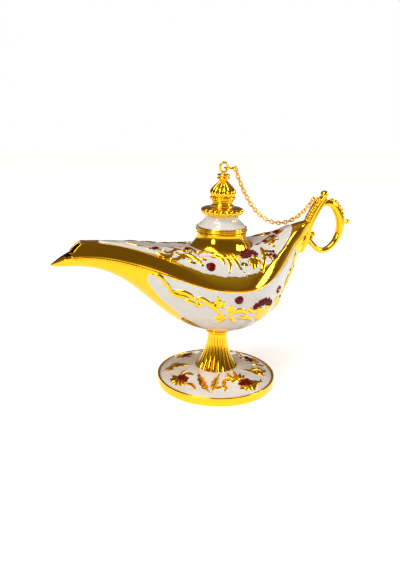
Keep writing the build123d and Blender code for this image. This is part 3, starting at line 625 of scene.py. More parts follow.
collar_low, collar_radius = 24.6, 5.75
collar = [(screw_hole, collar_low, 0), (4.5, collar_low, 0.1), (5.0, collar_low + 0.4, 0.3),
          (collar_radius, collar_low + 0.7, 0.5), (collar_radius, collar_low + 1.6, 0.5),
          (5.0, collar_low + 2.0, 0.3), (5.3, collar_low + 2.8, 0.2), (screw_hole, collar_low + 2.8, 0)]
piece("stem_gilt", [stem_column()], gold, stands_for=["stem_column"], crease=50)
piece("stem_collar_gilt", [turned(eased(collar))], gold, stands_for=["stem_collar"])


# Hull: the lower half of the body, a thin gilt casting shaped like a boat that runs out into
# the trough of the spout. Its edge is soldered under the deck's plain band.

hull_fullness, deck_flatness, wall, seam_drop = 0.95, 3.2, 1.3, 0.5
stern, stern_inside, lip_wall = 40.0, 36.0, 1.2
corner_x, corner_z, tip_x, tip_z = -66.2, 65.6, -74.6, 61.2
# Each row: place along X, then half beam and height at the seam, keel height, half beam and
# height at the band's upper edge, and ridge height.
stations = np.array([
    (-74.6, 0.8, 61.3, 60.5, 0.6, 62.1, 62.4), (-71, 3.6, 63.2, 60.1, 2.5, 66.2, 67.2),
    (-66, 5.2, 64.8, 59.9, 3.5, 69.6, 70.7), (-59, 5.5, 65.0, 59.2, 3.6, 70.3, 71.0),
    (-51, 6.4, 64.0, 56.6, 4.6, 69.7, 70.2), (-43, 8.6, 62.3, 51.8, 6.8, 68.2, 69.3),
    (-34, 12.2, 59.9, 43.9, 10.6, 65.7, 68.0), (-24, 17.4, 57.0, 35.2, 15.0, 62.2, 67.0),
    (-13, 22.8, 54.0, 29.2, 19.8, 58.5, 66.6), (-2, 26.1, 52.8, 26.9, 22.8, 56.9, 66.8),
    (7, 25.8, 53.0, 26.9, 22.4, 57.5, 67.0), (15, 22.0, 54.7, 28.6, 19.0, 60.0, 67.8),
    (22, 17.0, 57.6, 31.8, 14.4, 63.8, 69.4), (28.5, 11.4, 61.6, 37.5, 9.3, 67.8, 71.7),
    (34, 6.9, 66.6, 47.5, 5.4, 72.6, 74.6), (40, 3.8, 71.4, 62.0, 3.0, 76.8, 77.8)])


def body_at(x):
    """Half beam, seam, keel, band's upper half beam and height, and ridge at places along X."""
    return through(stations[:, 0], stations[:, 1:], x)


def shell(outer, inner, open_front=False):
    """A closed wall between two grids of sections; an open front has a rim all round."""
    rows, columns = outer.shape[:2]
    row, column = np.meshgrid(np.arange(rows - 1), np.arange(columns - 1), indexing="ij")
    here = row * columns + column
    quads = np.stack([here, here + 1, here + columns + 1, here + columns], -1).reshape(-1, 4)
    shift, last = rows * columns, (rows - 1) * columns
    faces = quads.tolist() + (quads + shift).tolist()
    for edge in (0, columns - 1):
        faces += [[corner, corner + columns, corner + columns + shift, corner + shift]
                  for corner in range(edge, edge + last, columns)]
    ends = [last] if open_front else [0, last]
    for start in ends:
        line = list(range(start, start + columns))
        faces += [line, [corner + shift for corner in line],
                  [line[0], line[-1], line[-1] + shift, line[0] + shift]]
    if open_front:
        faces += [[k, k + 1, k + 1 + shift, k + shift] for k in range(columns - 1)]
    return np.concatenate([outer.reshape(-1, 3), inner.reshape(-1, 3)]), faces


def hull_rows(x, inset):
    """Sections of the hull from one edge over the keel to the other, drawn in by an inset."""
    beam, seam, keel, edge_beam, edge_z, _ = body_at(x).T
    lip = corner_z + (x - corner_x) * (corner_z - tip_z) / (corner_x - tip_x)
    top = np.where(x < corner_x, lip, seam - seam_drop)
    low_top = np.minimum(top, seam)
    fall = ((seam - low_top) / (seam - keel)) ** (1 / hull_fullness)
    start = np.arcsin(np.clip(fall, 0, 1))
    turn = start[:, None] + (math.pi - 2 * start)[:, None] * np.linspace(0, 1, 91)[None]
    y = (beam - inset)[:, None] * np.cos(turn)
    z = seam[:, None] - (seam - keel - inset)[:, None] * np.maximum(np.sin(turn), 0) ** hull_fullness
    z = np.minimum(z, top[:, None])
    rise = np.clip((top - seam) / (edge_z - seam), 0, 1)
    brim = np.stack([beam - inset + rise * (edge_beam - beam), top], -1)[:, None]
    section = np.concatenate([brim, np.stack([y, z], -1), brim * np.array([-1, 1])], 1)
    along = np.broadcast_to(x[:, None, None], section.shape[:2] + (1,))
    return np.concatenate([along, section], -1)


def sterned(points):
    """The stern leans back into the handle's stem and closes round it."""
    x, y, z = np.moveaxis(points, -1, 0)
    back = np.clip((x - 33) / 7, 0, 1) ** 2
    closing = 1 - 0.42 * np.clip((x - 36.5) / 3.5, 0, 1) ** 2
    return np.stack([x + back * np.clip((z - 60) * 0.25, 0, 4.4), y * closing, z], -1)


def hull_shell():
    """The outer and inner faces of the casting, its wall thinner where the spout is shallow."""
    x = np.concatenate([np.linspace(tip_x, -66, 26), np.linspace(-65.5, stern, 150)])
    _, seam, keel, *_ = body_at(x).T
    inside = np.clip(x, tip_x + lip_wall, stern_inside)
    thin = np.minimum(wall, 0.30 * (seam - keel))
    return shell(sterned(hull_rows(x, 0.15)), sterned(hull_rows(inside, thin)))


piece("hull_gilt", [hull_shell()], gold, stands_for=["hull_shell"], crease=45)


# Hull ornament: acanthus scrolls, a crescent flower on its scalloped cup and small star
# flowers, cast in relief on both long sides and gilt, the flowers filled with garnet.


def on_side(x, z):
    """Points on the hull's near side, seen square on."""
    beam, seam, keel, *_ = np.moveaxis(body_at(x), -1, 0)
    fall = np.clip((seam - z) / (seam - keel), 0, 1) ** (1 / hull_fullness)
    return np.stack([x, -beam * np.sqrt(np.clip(1 - fall ** 2, 0, 1)), z], -1)


def mirrored(parts):
    """The same skins on the lamp's other long side."""
    return [(points * np.array([1, -1, 1]), faces) for points, faces in parts]


hull_stems = [
    (1.3, [(-34.7, 57.8), (-32.9, 57.9), (-31.2, 57.2), (-29.6, 55.0)], -0.7),
    (1.5, [(-30.3, 56.3), (-28.4, 54.2), (-27.2, 51.4), (-25.0, 49.6), (-21.5, 49.0), (-18.2, 47.4)], 0.0),
    (1.5, [(-27.2, 51.2), (-23.1, 51.3), (-20.7, 50.6), (-18.8, 49.3)], -0.8),
    (1.3, [(-22.3, 47.7), (-19.9, 47.3), (-17.4, 46.2), (-15.6, 45.8)], 0.8),
    (1.6, [(-18.6, 48.6), (-15.4, 49.1), (-13.6, 47.9), (-11.0, 45.9), (-8.2, 43.2), (-5.2, 41.9)], 0.0),
    (1.2, [(-16.0, 45.6), (-17.0, 47.2), (-16.2, 48.6)], -0.6),
    (1.6, [(-5.4, 41.9), (-2.8, 42.4), (-1.0, 43.6), (1.5, 43.6), (4.0, 42.0)], -0.8),
    (1.4, [(-1.0, 41.0), (2.2, 40.0), (6.2, 38.9), (9.0, 36.6)], 0.0),
    (1.3, [(3.6, 45.4), (5.6, 43.6), (8.0, 42.4)], 0.8),
    (1.4, [(20.5, 36.1), (23.2, 38.2), (24.3, 41.0), (24.0, 44.0)], 0.7),
    (1.3, [(20.0, 42.0), (22.0, 44.6), (22.6, 47.0)], 0.0),
    (1.3, [(24.3, 42.2), (26.4, 45.4), (28.8, 50.8), (31.0, 54.6)], -0.7),
    (1.2, [(27.2, 48.0), (29.6, 49.0), (30.8, 51.4)], 0.7),
    (1.2, [(29.0, 49.5), (31.4, 53.2), (32.4, 57.0)], 0.7),
    (1.2, [(31.8, 55.5), (33.6, 59.0), (34.4, 62.8)], -0.6),
    (1.1, [(31.0, 51.4), (33.0, 54.6), (34.4, 58.4)], 0.0),
]
hull_leaves = [
    (2.6, [(-7.9, 44.6), (-8.8, 47.6), (-9.4, 51.2)], 3),
    (1.8, [(-8.2, 45.4), (-10.4, 46.6), (-11.6, 48.6)], 2),
    (1.8, [(-7.8, 45.2), (-6.6, 47.0), (-6.6, 49.0)], 2),
    (2.2, [(-4.6, 42.6), (-3.4, 45.0), (-3.0, 47.4)], 2),
    (2.4, [(-5.0, 41.6), (-7.4, 40.0), (-10.4, 39.2)], 3),
    (2.0, [(-4.6, 41.2), (-6.2, 38.8), (-8.8, 37.4)], 2),
    (2.0, [(-3.6, 41.4), (-2.0, 39.6), (-0.4, 37.0)], 2),
    (1.8, [(23.4, 38.4), (26.0, 39.6), (27.4, 42.6)], 2),
]
crescent = [(8.4, 44.8, 1.5), (10.6, 45.7, 1.6), (13.0, 45.9, 1.65), (15.4, 45.2, 1.6), (17.4, 43.8, 1.4)]
crescent_cup = [(9.0, 42.2), (9.2, 38.4), (11.1, 35.6), (14.4, 34.6),
                (17.6, 35.2), (20.2, 37.2), (19.4, 40.6)]
crescent_heart = [(8.6, 44.0), (19.4, 42.6), (12.0, 39.0), (16.4, 38.6)]
side_berry, side_star, side_buds = (-0.3, 48.7), (22.5, 48.8), [(25.2, 44.1, 0.9), (31.2, 55.6, 0.8)]


def star(chart, middle, reach, size, stretch, first):
    """Five red petals round a middle, the first of them at a turn in degrees."""
    petals = []
    for number in range(5):
        angle = math.radians(first + 72 * number)
        spot = (middle[0] + reach * math.cos(angle), middle[1] + reach * math.sin(angle))
        petals.append(boss(chart, spot, size, 0.7, stretch=stretch, turn=angle))
    return petals


def hull_ornament():
    """Gilt and red parts of the near side."""
    gilt = [scroll(on_side, curled(points, turn), width, 0.85) for width, points, turn in hull_stems]
    gilt += [scroll(on_side, points, width, 0.95, lobes) for width, points, lobes in hull_leaves]
    gilt += spray(on_side, (13.2, 41.6), crescent_cup, 2.3, 1.0, 0.06)
    gilt += spray(on_side, (13.2, 42.0), crescent_heart, 1.7, 1.1, 0.1)
    gilt.append(boss(on_side, side_star, 0.6, 1.0))
    reds = [boss(on_side, (x, z), size, 1.0, petals=6, ruffle=0.3) for x, z, size in crescent]
    reds.append(boss(on_side, side_berry, 1.6, 1.0))
    reds += star(on_side, side_star, 1.15, 0.85, 1.2, 90)
    reds += [boss(on_side, (x, z), size, 0.7, petals=5, ruffle=0.2) for x, z, size in side_buds]
    return gilt, reds


embossed.clear()
hull_gilt, hull_reds = hull_ornament()
piece("hull_scrolls", hull_gilt + mirrored(hull_gilt), gold)
piece("hull_flowers", hull_reds + mirrored(hull_reds), garnet, stands_for=["hull_blossoms"])


def soft_step(share):
    """From nought to one without a corner at either end."""
    share = np.clip(share, 0, 1)
    return share * share * (3 - 2 * share)


def hull_enamel():
    """The ivory ground of the near side: a wavy-edged panel between the band and the keel."""
    front, back, under_band, over_keel, over_spout_keel = -36.4, 36.2, 0.4, 2.3, 6.4
    share = 0.5 - 0.5 * np.cos(np.linspace(0.03, math.pi - 0.03, 260))
    down = 0.5 - 0.5 * np.cos(np.linspace(0, math.pi, 90))
    x = front + (back - front) * share
    _, seam, keel, *_ = body_at(x).T
    top = seam - seam_drop - under_band - 0.22 * np.sin(0.9 * x) - 0.14 * np.sin(2.3 * x + 1)
    forward = soft_step((5.0 - x) / 42.0)
    low = keel + over_keel + (over_spout_keel - over_keel) * forward + 0.2 * np.sin(0.7 * x)
    opening = np.maximum(quarter_round(share, 0.10, 2.4) * quarter_round(1 - share, 0.05), 0.02)
    middle, half = (top + low) / 2, (top - low) / 2 * opening
    z = middle[:, None] + half[:, None] * (1 - 2 * down)[None]
    flat = np.stack([np.broadcast_to(x[:, None], z.shape), z], -1).reshape(-1, 2)
    place, _, normal = (grid.reshape(z.shape + (3,)) for grid in laid(on_side, flat))
    across = np.linalg.norm(np.diff(place, axis=1), axis=-1)
    walked = np.concatenate([np.zeros((len(x), 1)), np.cumsum(across, 1)], 1)
    edge = np.minimum(walked, walked[:, -1:] - walked)
    edge = np.minimum(edge, np.minimum(x - front, back - x)[:, None] * 1.3)
    raised = 0.5 * quarter_round(edge, 1.1) - 0.3 + swollen(place)
    return skin(np.concatenate([place + normal * raised[..., None], (place - 0.45 * normal)[:, ::-1]], 1))


near_enamel = hull_enamel()
piece("hull_ground_front", [near_enamel], ivory, stands_for=["hull_enamel_front"])
piece("hull_ground_back", mirrored([near_enamel]), ivory, stands_for=["hull_enamel_back"])


# Seam beading: a row of fine beads in the shadow under the band, along the spout only,
# chased into the casting before it was gilt.

bead_radius, bead_pitch, first_bead, last_bead = 0.36, 1.15, -65.0, -37.5


def seam_beads():
    """The near side's row."""
    parts, ring = [], np.linspace(0, 2 * math.pi, 10, endpoint=False)
    for x in np.arange(first_bead, last_bead, bead_pitch):
        beam, seam = body_at(np.array([x]))[0, :2]
        place = np.array([x, -(beam + 0.05), seam - seam_drop - 0.75])
        layers = [np.stack([math.cos(rise) * np.cos(ring), math.sin(rise) + 0 * ring,
                            math.cos(rise) * np.sin(ring)], -1) for rise in np.linspace(-1.45, 1.45, 7)]
        parts.append(skin([place + bead_radius * layer for layer in layers]))
    return parts


beads = seam_beads()
piece("seam_beading", beads + mirrored(beads), gold)


# Deck: the upper half of the body, with the broad plain band round its edge, the hood over
# the spout's mouth and the opening for the lid. One gilt casting, pressed over the hull.

neck_bore, mouth_crown_x, mouth_crown_z, hood_front = 9.0, -60.6, 71.0, -64.0
band_bulge, under_deck_enamel = 0.2, 0.5
band_steps, deck_steps, deck_sections = 22, 61, 190


def mouth_edge(z):
    """Where the hood ends at a height: the arch leans back as it rises."""
    rise = np.clip((z - corner_z) / (mouth_crown_z - corner_z), 0, 1)
    return corner_x + (mouth_crown_x - corner_x) * (0.55 * rise + 0.45 * rise ** 2.5)


def deck_rows(x, inset):
    """Sections of the deck, seam over ridge to seam, at places x: one place for each point."""
    beam, seam, _, edge_beam, edge_z, ridge = np.moveaxis(body_at(x), -1, 0)
    crown = ridge - edge_z - 0.7 * inset
    beam, edge_beam, edge_z = beam - inset, edge_beam - inset, edge_z - 0.3 * inset
    half = [(beam[:, 0] - 0.5, seam[:, 0] - seam_drop)]
    for k, share in enumerate(np.linspace(0, 1, band_steps), 1):
        bulge = band_bulge * math.sin(math.pi * share) ** 0.6
        tall, lean = edge_z[:, k] - seam[:, k], beam[:, k] - edge_beam[:, k]
        size = np.hypot(tall, lean)
        half.append((beam[:, k] - lean * share + bulge * tall / size,
                     seam[:, k] + tall * share + bulge * lean / size))
    for k, share in enumerate(np.linspace(0.985, 0, deck_steps // 2 + 1), band_steps + 1):
        sunk = under_deck_enamel * min(1, (1 - share) / 0.06)
        height = edge_z[:, k] + crown[:, k] * (1 - share ** deck_flatness) - sunk
        half.append((share * edge_beam[:, k], height))
    near = np.stack([np.stack(point, -1) for point in half], 1)
    far = near[:, -2::-1] * np.array([-1, 1])
    return np.concatenate([x[..., None], np.concatenate([near, far], 1)], -1)


def deck_grid(inset, stern_x):
    """The deck's sections, from the slanting arch of the hood back to the stern."""
    front = np.full((1, 2 * (band_steps + 1) + deck_steps), hood_front)
    for _ in range(30):
        front = mouth_edge(deck_rows(front, inset)[..., 2])
    front = (front + front[:, ::-1]) / 2
    share = np.linspace(0, 1, deck_sections)[:, None] ** 1.05
    return sterned(deck_rows(front + (stern_x - front) * share, inset))


def bored(target, radius):
    """Takes a round upright hole through a piece about the axis, at the deck's height."""
    low, high = 55, 75
    middle, depth = (high + low) / 2 * millimetre, (high - low) * millimetre
    bpy.ops.mesh.primitive_cylinder_add(vertices=128, radius=radius * millimetre, depth=depth,
                                        location=(0, 0, middle))
    cutter = bpy.context.object
    cut = target.modifiers.new("bore", "BOOLEAN")
    cut.operation, cut.solver, cut.object = "DIFFERENCE", "EXACT", cutter
    ready = bpy.data.meshes.new_from_object(target.evaluated_get(bpy.context.evaluated_depsgraph_get()))
    target.modifiers.clear()
    target.data = ready
    bpy.data.objects.remove(cutter)


deck_shell = shell(deck_grid(0.0, stern), deck_grid(wall, stern_inside), open_front=True)
deck = piece("deck_gilt", [deck_shell], gold, stands_for=["deck_shell"], crease=45)
bored(deck, neck_bore)


# Mouth rim: the rounded bright edge of the hood's arch over the spout's opening, cast in one
# with the deck and polished after gilding.

rim_radius = 0.55


def mouth_rim():
    """A bead of oval section laid along the middle of the arch's wall."""
    edge = deck_grid(wall * 0.5, stern)[0]
    along = np.gradient(edge, axis=0)
    along /= np.linalg.norm(along, axis=1)[:, None]
    ahead = np.array([1, 0, 0])
    side = np.cross(along, ahead)
    ring = np.linspace(0, 2 * math.pi, 14, endpoint=False)[:, None]
    return skin([spot + rim_radius * (0.95 * np.cos(ring) * across + 0.8 * np.sin(ring) * ahead)
                 for spot, across in zip(edge, side)])


piece("mouth_rim", [mouth_rim()], gold, crease=60)


# Deck ornament: stems, buds and a great flower that lean round the neck on both sides, cast
# in relief and gilt, berries and flower heads filled with garnet enamel.


def on_deck(x, y):
    """Points on the deck over a place seen from above."""
    _, _, _, edge_beam, edge_z, ridge = np.moveaxis(body_at(x), -1, 0)
    share = np.clip(np.abs(y) / edge_beam, 0, 1)
    return np.stack([x, y, edge_z + (ridge - edge_z) * (1 - share ** deck_flatness)], -1)


deck_stems = [
    (0.9, [(-45.5, -1.6), (-42.0, -2.6), (-39.0, -4.6), (-35.2, -5.0)], 0.0),
    (1.0, [(-37.0, -4.8), (-34.4, -6.6), (-32.4, -5.8)], 0.6),
    (1.3, [(-30.2, -8.5), (-27.2, -9.4), (-24.6, -8.4), (-23.0, -6.0)], 0.7),
    (1.4, [(-27.6, -11.6), (-24.0, -12.8), (-21.0, -11.6), (-18.6, -12.8)], -0.7),
    (1.3, [(-25.4, -4.8), (-22.4, -6.2), (-20.0, -8.6), (-16.6, -8.8)], 0.0),
    (1.5, [(-20.7, -9.6), (-17.4, -11.8), (-15.4, -14.2), (-13.2, -16.4)], 0.0),
    (1.8, [(-16.0, -14.2), (-14.4, -11.6), (-11.8, -9.8), (-8.0, -8.4), (-4.2, -8.2), (-1.2, -11.2),
           (0.4, -15.4), (1.6, -19.2), (4.6, -22.4)], 0.0),
    (1.5, [(-12.4, -11.6), (-9.4, -10.6), (-6.2, -11.4), (-3.6, -14.2), (-2.2, -17.6), (-3.2, -20.6)], -0.7),
    (1.3, [(-9.8, -12.8), (-7.2, -13.4), (-4.8, -16.0), (-4.6, -18.8)], 0.0),
    (1.0, [(-13.0, -10.9), (-8.6, -9.8), (-4.8, -9.9), (-2.4, -12.8), (-0.9, -16.6), (0.6, -20.2)], 0.0),
    (1.0, [(-6.4, -7.9), (-2.6, -8.6), (0.0, -11.6), (1.8, -15.6), (3.4, -19.6)], 0.0),
    (1.1, [(-14.8, -12.6), (-12.4, -14.4), (-11.0, -15.2)], 0.0),
    (1.3, [(-22.0, -4.0), (-18.4, -4.4), (-15.4, -7.4), (-15.0, -10.2)], -0.7),
    (1.2, [(-33.0, -8.6), (-30.0, -10.4), (-26.6, -11.0)], 0.7),
    (1.6, [(15.4, -8.9), (15.2, -12.2), (14.4, -16.6), (13.2, -19.6)], 0.0),
    (1.2, [(15.2, -12.6), (17.2, -12.8), (18.8, -13.6)], 0.0),
    (1.4, [(16.4, -8.2), (19.6, -7.2), (22.4, -5.4), (25.0, -4.6)], -0.8),
    (1.3, [(18.4, -9.6), (20.8, -9.0), (22.6, -7.2)], 0.7),
    (1.2, [(24.6, -3.8), (27.0, -2.6), (29.8, -1.6), (31.6, -1.8)], 0.0),
    (1.2, [(17.6, -5.6), (20.6, -3.8), (23.4, -1.6)], 0.7),
    (1.2, [(10.6, -19.4), (12.2, -20.2), (13.0, -18.4)], 0.5),
]
deck_leaves = [
    (2.2, [(-6.0, -8.6), (-2.4, -11.6), (-0.6, -16.0)], 3),
    (1.8, [(-15.2, -13.8), (-14.6, -16.0), (-12.6, -17.4)], 2),
    (1.8, [(-18.0, -11.4), (-16.8, -9.2), (-14.6, -8.4)], 2),
    (1.7, [(-24.2, -8.6), (-22.0, -10.6), (-19.2, -10.4)], 2),
    (2.0, [(-24.8, -9.4), (-27.0, -11.4), (-30.0, -11.6)], 3),
    (1.8, [(-22.8, -6.4), (-24.8, -4.4), (-27.4, -4.2)], 2),
    (1.8, [(-20.6, -10.0), (-20.6, -12.0), (-22.6, -13.6)], 2),
    (1.8, [(-18.2, -9.8), (-19.6, -7.8), (-22.0, -7.4)], 2),
    (1.9, [(-19.4, -12.8), (-18.0, -14.8), (-15.4, -15.6)], 2),
    (1.7, [(-27.2, -9.2), (-29.6, -7.6), (-32.4, -8.4)], 2),
    (1.8, [(-12.6, -11.0), (-14.4, -9.4), (-17.0, -9.6)], 2),
    (2.0, [(14.8, -13.6), (17.6, -15.2), (18.4, -17.0)], 2),
    (2.2, [(2.0, -19.0), (4.6, -18.6), (6.4, -19.8)], 2),
    (1.8, [(13.4, -8.2), (15.6, -6.6), (18.2, -6.4)], 2),
    (1.8, [(19.4, -8.2), (21.2, -10.2), (20.6, -12.6)], 2),
    (1.8, [(22.2, -5.2), (24.4, -7.0), (26.2, -6.4)], 2),
    (2.0, [(12.8, -18.4), (11.2, -16.6), (11.8, -14.4)], 2),
]
great_flower = [(5.2, -14.6, 1.45), (6.2, -12.6, 1.5), (8.2, -11.8, 1.5), (10.2, -12.6, 1.4),
                (7.4, -14.4, 1.5), (11.2, -14.0, 1.1)]
great_cup = [(6.6, -19.0), (8.2, -20.4), (10.0, -20.0), (11.4, -18.2), (11.6, -16.0)]
great_crest = [(7.0, -8.0), (8.6, -7.2), (10.4, -7.8)]
deck_berry, deck_star = (-10.5, -17.6), (19.4, -13.9)
deck_buds = [(-32.0, -5.9, 1.7), (-17.2, -5.4, 1.7), (27.8, -0.9, 1.5), (19.0, -5.6, 1.3), (24.2, -3.0, 1.2)]


def deck_ornament():
    """Gilt and red parts of the near side."""
    gilt = [scroll(on_deck, curled(points, turn, 0.8), width, 0.8) for width, points, turn in deck_stems]
    gilt += [scroll(on_deck, points, width, 0.85, lobes) for width, points, lobes in deck_leaves]
    gilt += spray(on_deck, (8.6, -15.8), great_cup, 1.8, 1.1, 0.05)
    gilt += spray(on_deck, (8.8, -10.0), great_crest, 1.1)
    reds = [boss(on_deck, (x, y), size, 1.05, petals=6, ruffle=0.3) for x, y, size in great_flower]
    reds.append(boss(on_deck, deck_berry, 1.8, 1.1))
    reds += [boss(on_deck, (x, y), 1.2, 0.9, stretch=stretch, turn=0.5) for x, y, stretch in deck_buds]
    reds += star(on_deck, deck_star, 1.05, 0.75, 1.25, 54)
    return gilt, reds


embossed.clear()
deck_gilt, deck_reds = deck_ornament()
piece("deck_scrolls", deck_gilt + mirrored(deck_gilt), gold)
piece("deck_flowers", deck_reds + mirrored(deck_reds), garnet, stands_for=["deck_blossoms"])


def deck_enamel():
    """The ivory ground of the deck, rounded at both ends, that passes under the neck."""
    embossed.extend([spots * np.array([1, -1, 1]) for spots in list(embossed)])
    front, back, spout_share, broad_share, stern_share = -54.8, 34.4, 0.885, 0.97, 0.92
    share = 0.5 - 0.5 * np.cos(np.linspace(0.02, math.pi - 0.02, 330))
    across = np.sin(np.linspace(-math.pi / 2, math.pi / 2, 130))
    x = front + (back - front) * share
    opening = np.maximum(quarter_round(share, 0.16) * quarter_round(1 - share, 0.05), 0.03)
    wavy = 1 + 0.006 * np.sin(0.8 * x) + 0.004 * np.sin(2.1 * x)
    grown, drawn_in = soft_step((x + 36) / 24), np.clip((x - 18) / 16, 0, 1)
    reach = spout_share + (broad_share - spout_share) * grown - (broad_share - stern_share) * drawn_in
    half = reach * body_at(x)[:, 3] * wavy * opening
    y = half[:, None] * across[None]
    flat = np.stack([np.broadcast_to(x[:, None], y.shape), y], -1).reshape(-1, 2)
    place, _, normal = (grid.reshape(y.shape + (3,)) for grid in laid(on_deck, flat))
    edge = np.minimum(half[:, None] - np.abs(y), np.minimum(x - front, back - x)[:, None] * 1.3)
    raised = 0.5 * quarter_round(edge, 1.0) - 0.25 + swollen(place)
    return skin(np.concatenate([place + normal * raised[..., None], (place - 0.5 * normal)[:, ::-1]], 1))


neck_seat = 14.5
deck_ground = piece("deck_ground", [deck_enamel()], ivory, stands_for=["deck_enamel"])
bored(deck_ground, neck_seat)


# Neck: a turned sleeve that flares onto the deck, brass spun to shape, gilt and soldered on.
# Its bore takes the lid's spigot.

neck_top, neck_radius, flare_radius, flare_height = 73.4, 11.0, 16.2, 9.2


def neck_sleeve():
    """The sleeve, its skirt drawn out along the lamp to follow the deck."""
    fallen, out = profile([(0, 0), (0.34, 0.11), (0.60, 0.29), (0.83, 0.58), (1, 1)], 30)
    side = [(neck_radius + reach * (flare_radius - neck_radius), neck_top - 0.6 - fall * flare_height, 0)
            for fall, reach in zip(fallen, out)][3:]
    foot = body_at(np.array([0.0]))[0, 5] - 2.2
    lip = [(neck_bore, neck_top, 0.2), (neck_radius - 0.1, neck_top, 0.3),
           (neck_radius + 0.35, neck_top - 0.5, 0.3), (neck_radius + 0.1, neck_top - 1.0, 0.3)]
    hem = [(flare_radius + 0.3, foot + 0.6, 0.3), (flare_radius + 0.2, foot, 0), (neck_bore, foot, 0)]

    def skirted(angle, radius, z):
        return radius + 0.95 * np.maximum(radius - neck_radius - 0.4, 0) * np.cos(angle) ** 4

    return turned(eased(lip + side + hem), 200, skirted)


piece("neck_gilt", [neck_sleeve()], gold, stands_for=["neck_collar"])


# Lid: a gilt ring with a spigot, an ivory enamelled dome, a gadrooned collar, a baluster and
# a fluted onion finial, drawn together by a stud and nut. The cap holds a swivel eye.

dome_low, gadroon_low, baluster_low, bulb_low, cap_low, cap_top = 75.4, 80.2, 84.1, 87.2, 96.0, 98.4
stud_hole, spigot_radius, spigot_inside, spigot_low, ring_radius = 1.25, 8.7, 7.1, 68.4, 11.75
dome_radius, dome_top_radius, bulb_radius, lobes, flutes = 11.0, 7.6, 5.9, 18, 13


def lid_ring():
    """The ring that sits on the neck, a plain disc inside it and the spigot below."""
    corners = [(stud_hole, 73.5, 0), (spigot_inside, 73.5, 0), (spigot_inside, spigot_low, 0.3),
               (spigot_radius, spigot_low, 0.3), (spigot_radius, 73.45, 0), (11.3, 73.5, 0.3),
               (ring_radius, 73.9, 0.3), (ring_radius, 74.35, 0.25), (11.2, 74.55, 0.15),
               (11.2, 74.75, 0.15), (11.5, 74.9, 0.2), (11.35, 75.5, 0.3), (stud_hole, 75.5, 0)]
    return turned(eased(corners), 200)


def lid_dome():
    """The enamelled dome, hollow-cheeked like a bell."""
    up, out = profile([(0, 1), (0.12, 0.86), (0.42, 0.36), (0.72, 0.06), (1, 0)], 30)
    side = np.stack([dome_top_radius + out * (dome_radius - dome_top_radius),
                     dome_low + up * (gadroon_low - dome_low)], -1)
    base = [(stud_hole, dome_low), (dome_radius - 0.35, dome_low), (dome_radius - 0.05, dome_low + 0.15)]
    return turned(np.array([*base, *side[1:], (stud_hole, gadroon_low)]), 200)


def gadroon():
    """Eighteen rounded lobes hang from a plain polished rim over a smooth band."""
    corners = [(stud_hole, gadroon_low, 0), (7.9, gadroon_low, 0.2), (8.3, gadroon_low + 0.7, 0.4),
               (8.9, gadroon_low + 0.9, 0.4), (9.75, gadroon_low + 1.7, 0.9), (9.6, gadroon_low + 2.9, 0.9),
               (8.4, gadroon_low + 3.5, 0.8), (6.6, gadroon_low + 3.7, 0.3), (6.2, baluster_low, 0.2),
               (stud_hole, baluster_low, 0)]

    def lobed(angle, radius, z):
        band = np.exp(-((z - gadroon_low - 2.1) / 1.15) ** 4)
        return radius - 0.95 * band * (radius > 7) * (1 - np.abs(np.sin(lobes * angle / 2)) ** 0.6)

    return turned(eased(corners, 9), 432, lobed)


def baluster():
    """The finial's neck: two flat beads with a waist between them."""
    corners = [(stud_hole, baluster_low, 0), (5.25, baluster_low, 0.2), (5.25, baluster_low + 0.6, 0.25),
               (4.5, baluster_low + 0.95, 0.2), (4.15, baluster_low + 1.5, 0.4),
               (4.5, baluster_low + 2.1, 0.2), (5.0, baluster_low + 2.4, 0.25), (4.95, bulb_low, 0.2),
               (stud_hole, bulb_low, 0)]
    return turned(eased(corners), 160)


def ball(place, radius, steps=12):
    """A round bead."""
    ring = np.linspace(0, 2 * math.pi, 2 * steps, endpoint=False)
    end = math.pi / 2 - 0.06
    layers = [np.stack([math.cos(rise) * np.cos(ring), math.cos(rise) * np.sin(ring),
                        math.sin(rise) + 0 * ring], -1) for rise in np.linspace(-end, end, steps)]
    return skin(np.array(place) + radius * np.array(layers))


def bead_ring(count, reach, z, size, steps=12):
    """Round beads set evenly about the axis."""
    turns = [2 * math.pi * number / count for number in range(count)]
    return [ball((reach * math.cos(turn), reach * math.sin(turn), z), size, steps) for turn in turns]


def bulb():
    """The onion with its flutes, on a plain foot with a ring of beads."""
    cheeks = [(0.15, 0.84), (0.24, 0.96), (0.36, 1.0), (0.54, 0.88), (0.73, 0.62), (0.89, 0.37), (1.0, 0.27)]
    up, out = profile(cheeks, 44, 0.15)
    side = np.stack([bulb_radius * out, bulb_low + up * (cap_low - bulb_low)], -1)
    seat = bulb_low + 1.1
    outline = np.array([(stud_hole, seat), (side[0, 0] - 0.5, seat), *side, (stud_hole, cap_low + 0.1)])

    def fluted(angle, radius, z):
        depth = np.where(radius > stud_hole + 0.15, 0.62 * (radius / bulb_radius) ** 0.7, 0)
        start = np.clip((z - bulb_low - 1.4) / 0.8, 0, 1)
        return radius - depth * start * (1 - np.abs(np.sin(flutes * angle / 2)) ** 0.75)

    foot = [(stud_hole, bulb_low, 0), (5.35, bulb_low, 0.3), (5.6, bulb_low + 0.65, 0.5),
            (5.3, bulb_low + 1.3, 0.3), (stud_hole, bulb_low + 1.3, 0)]
    beads = bead_ring(26, 5.35, bulb_low + 0.75, 0.52)
    return [turned(outline, 416, fluted), turned(eased(foot), 160)] + beads


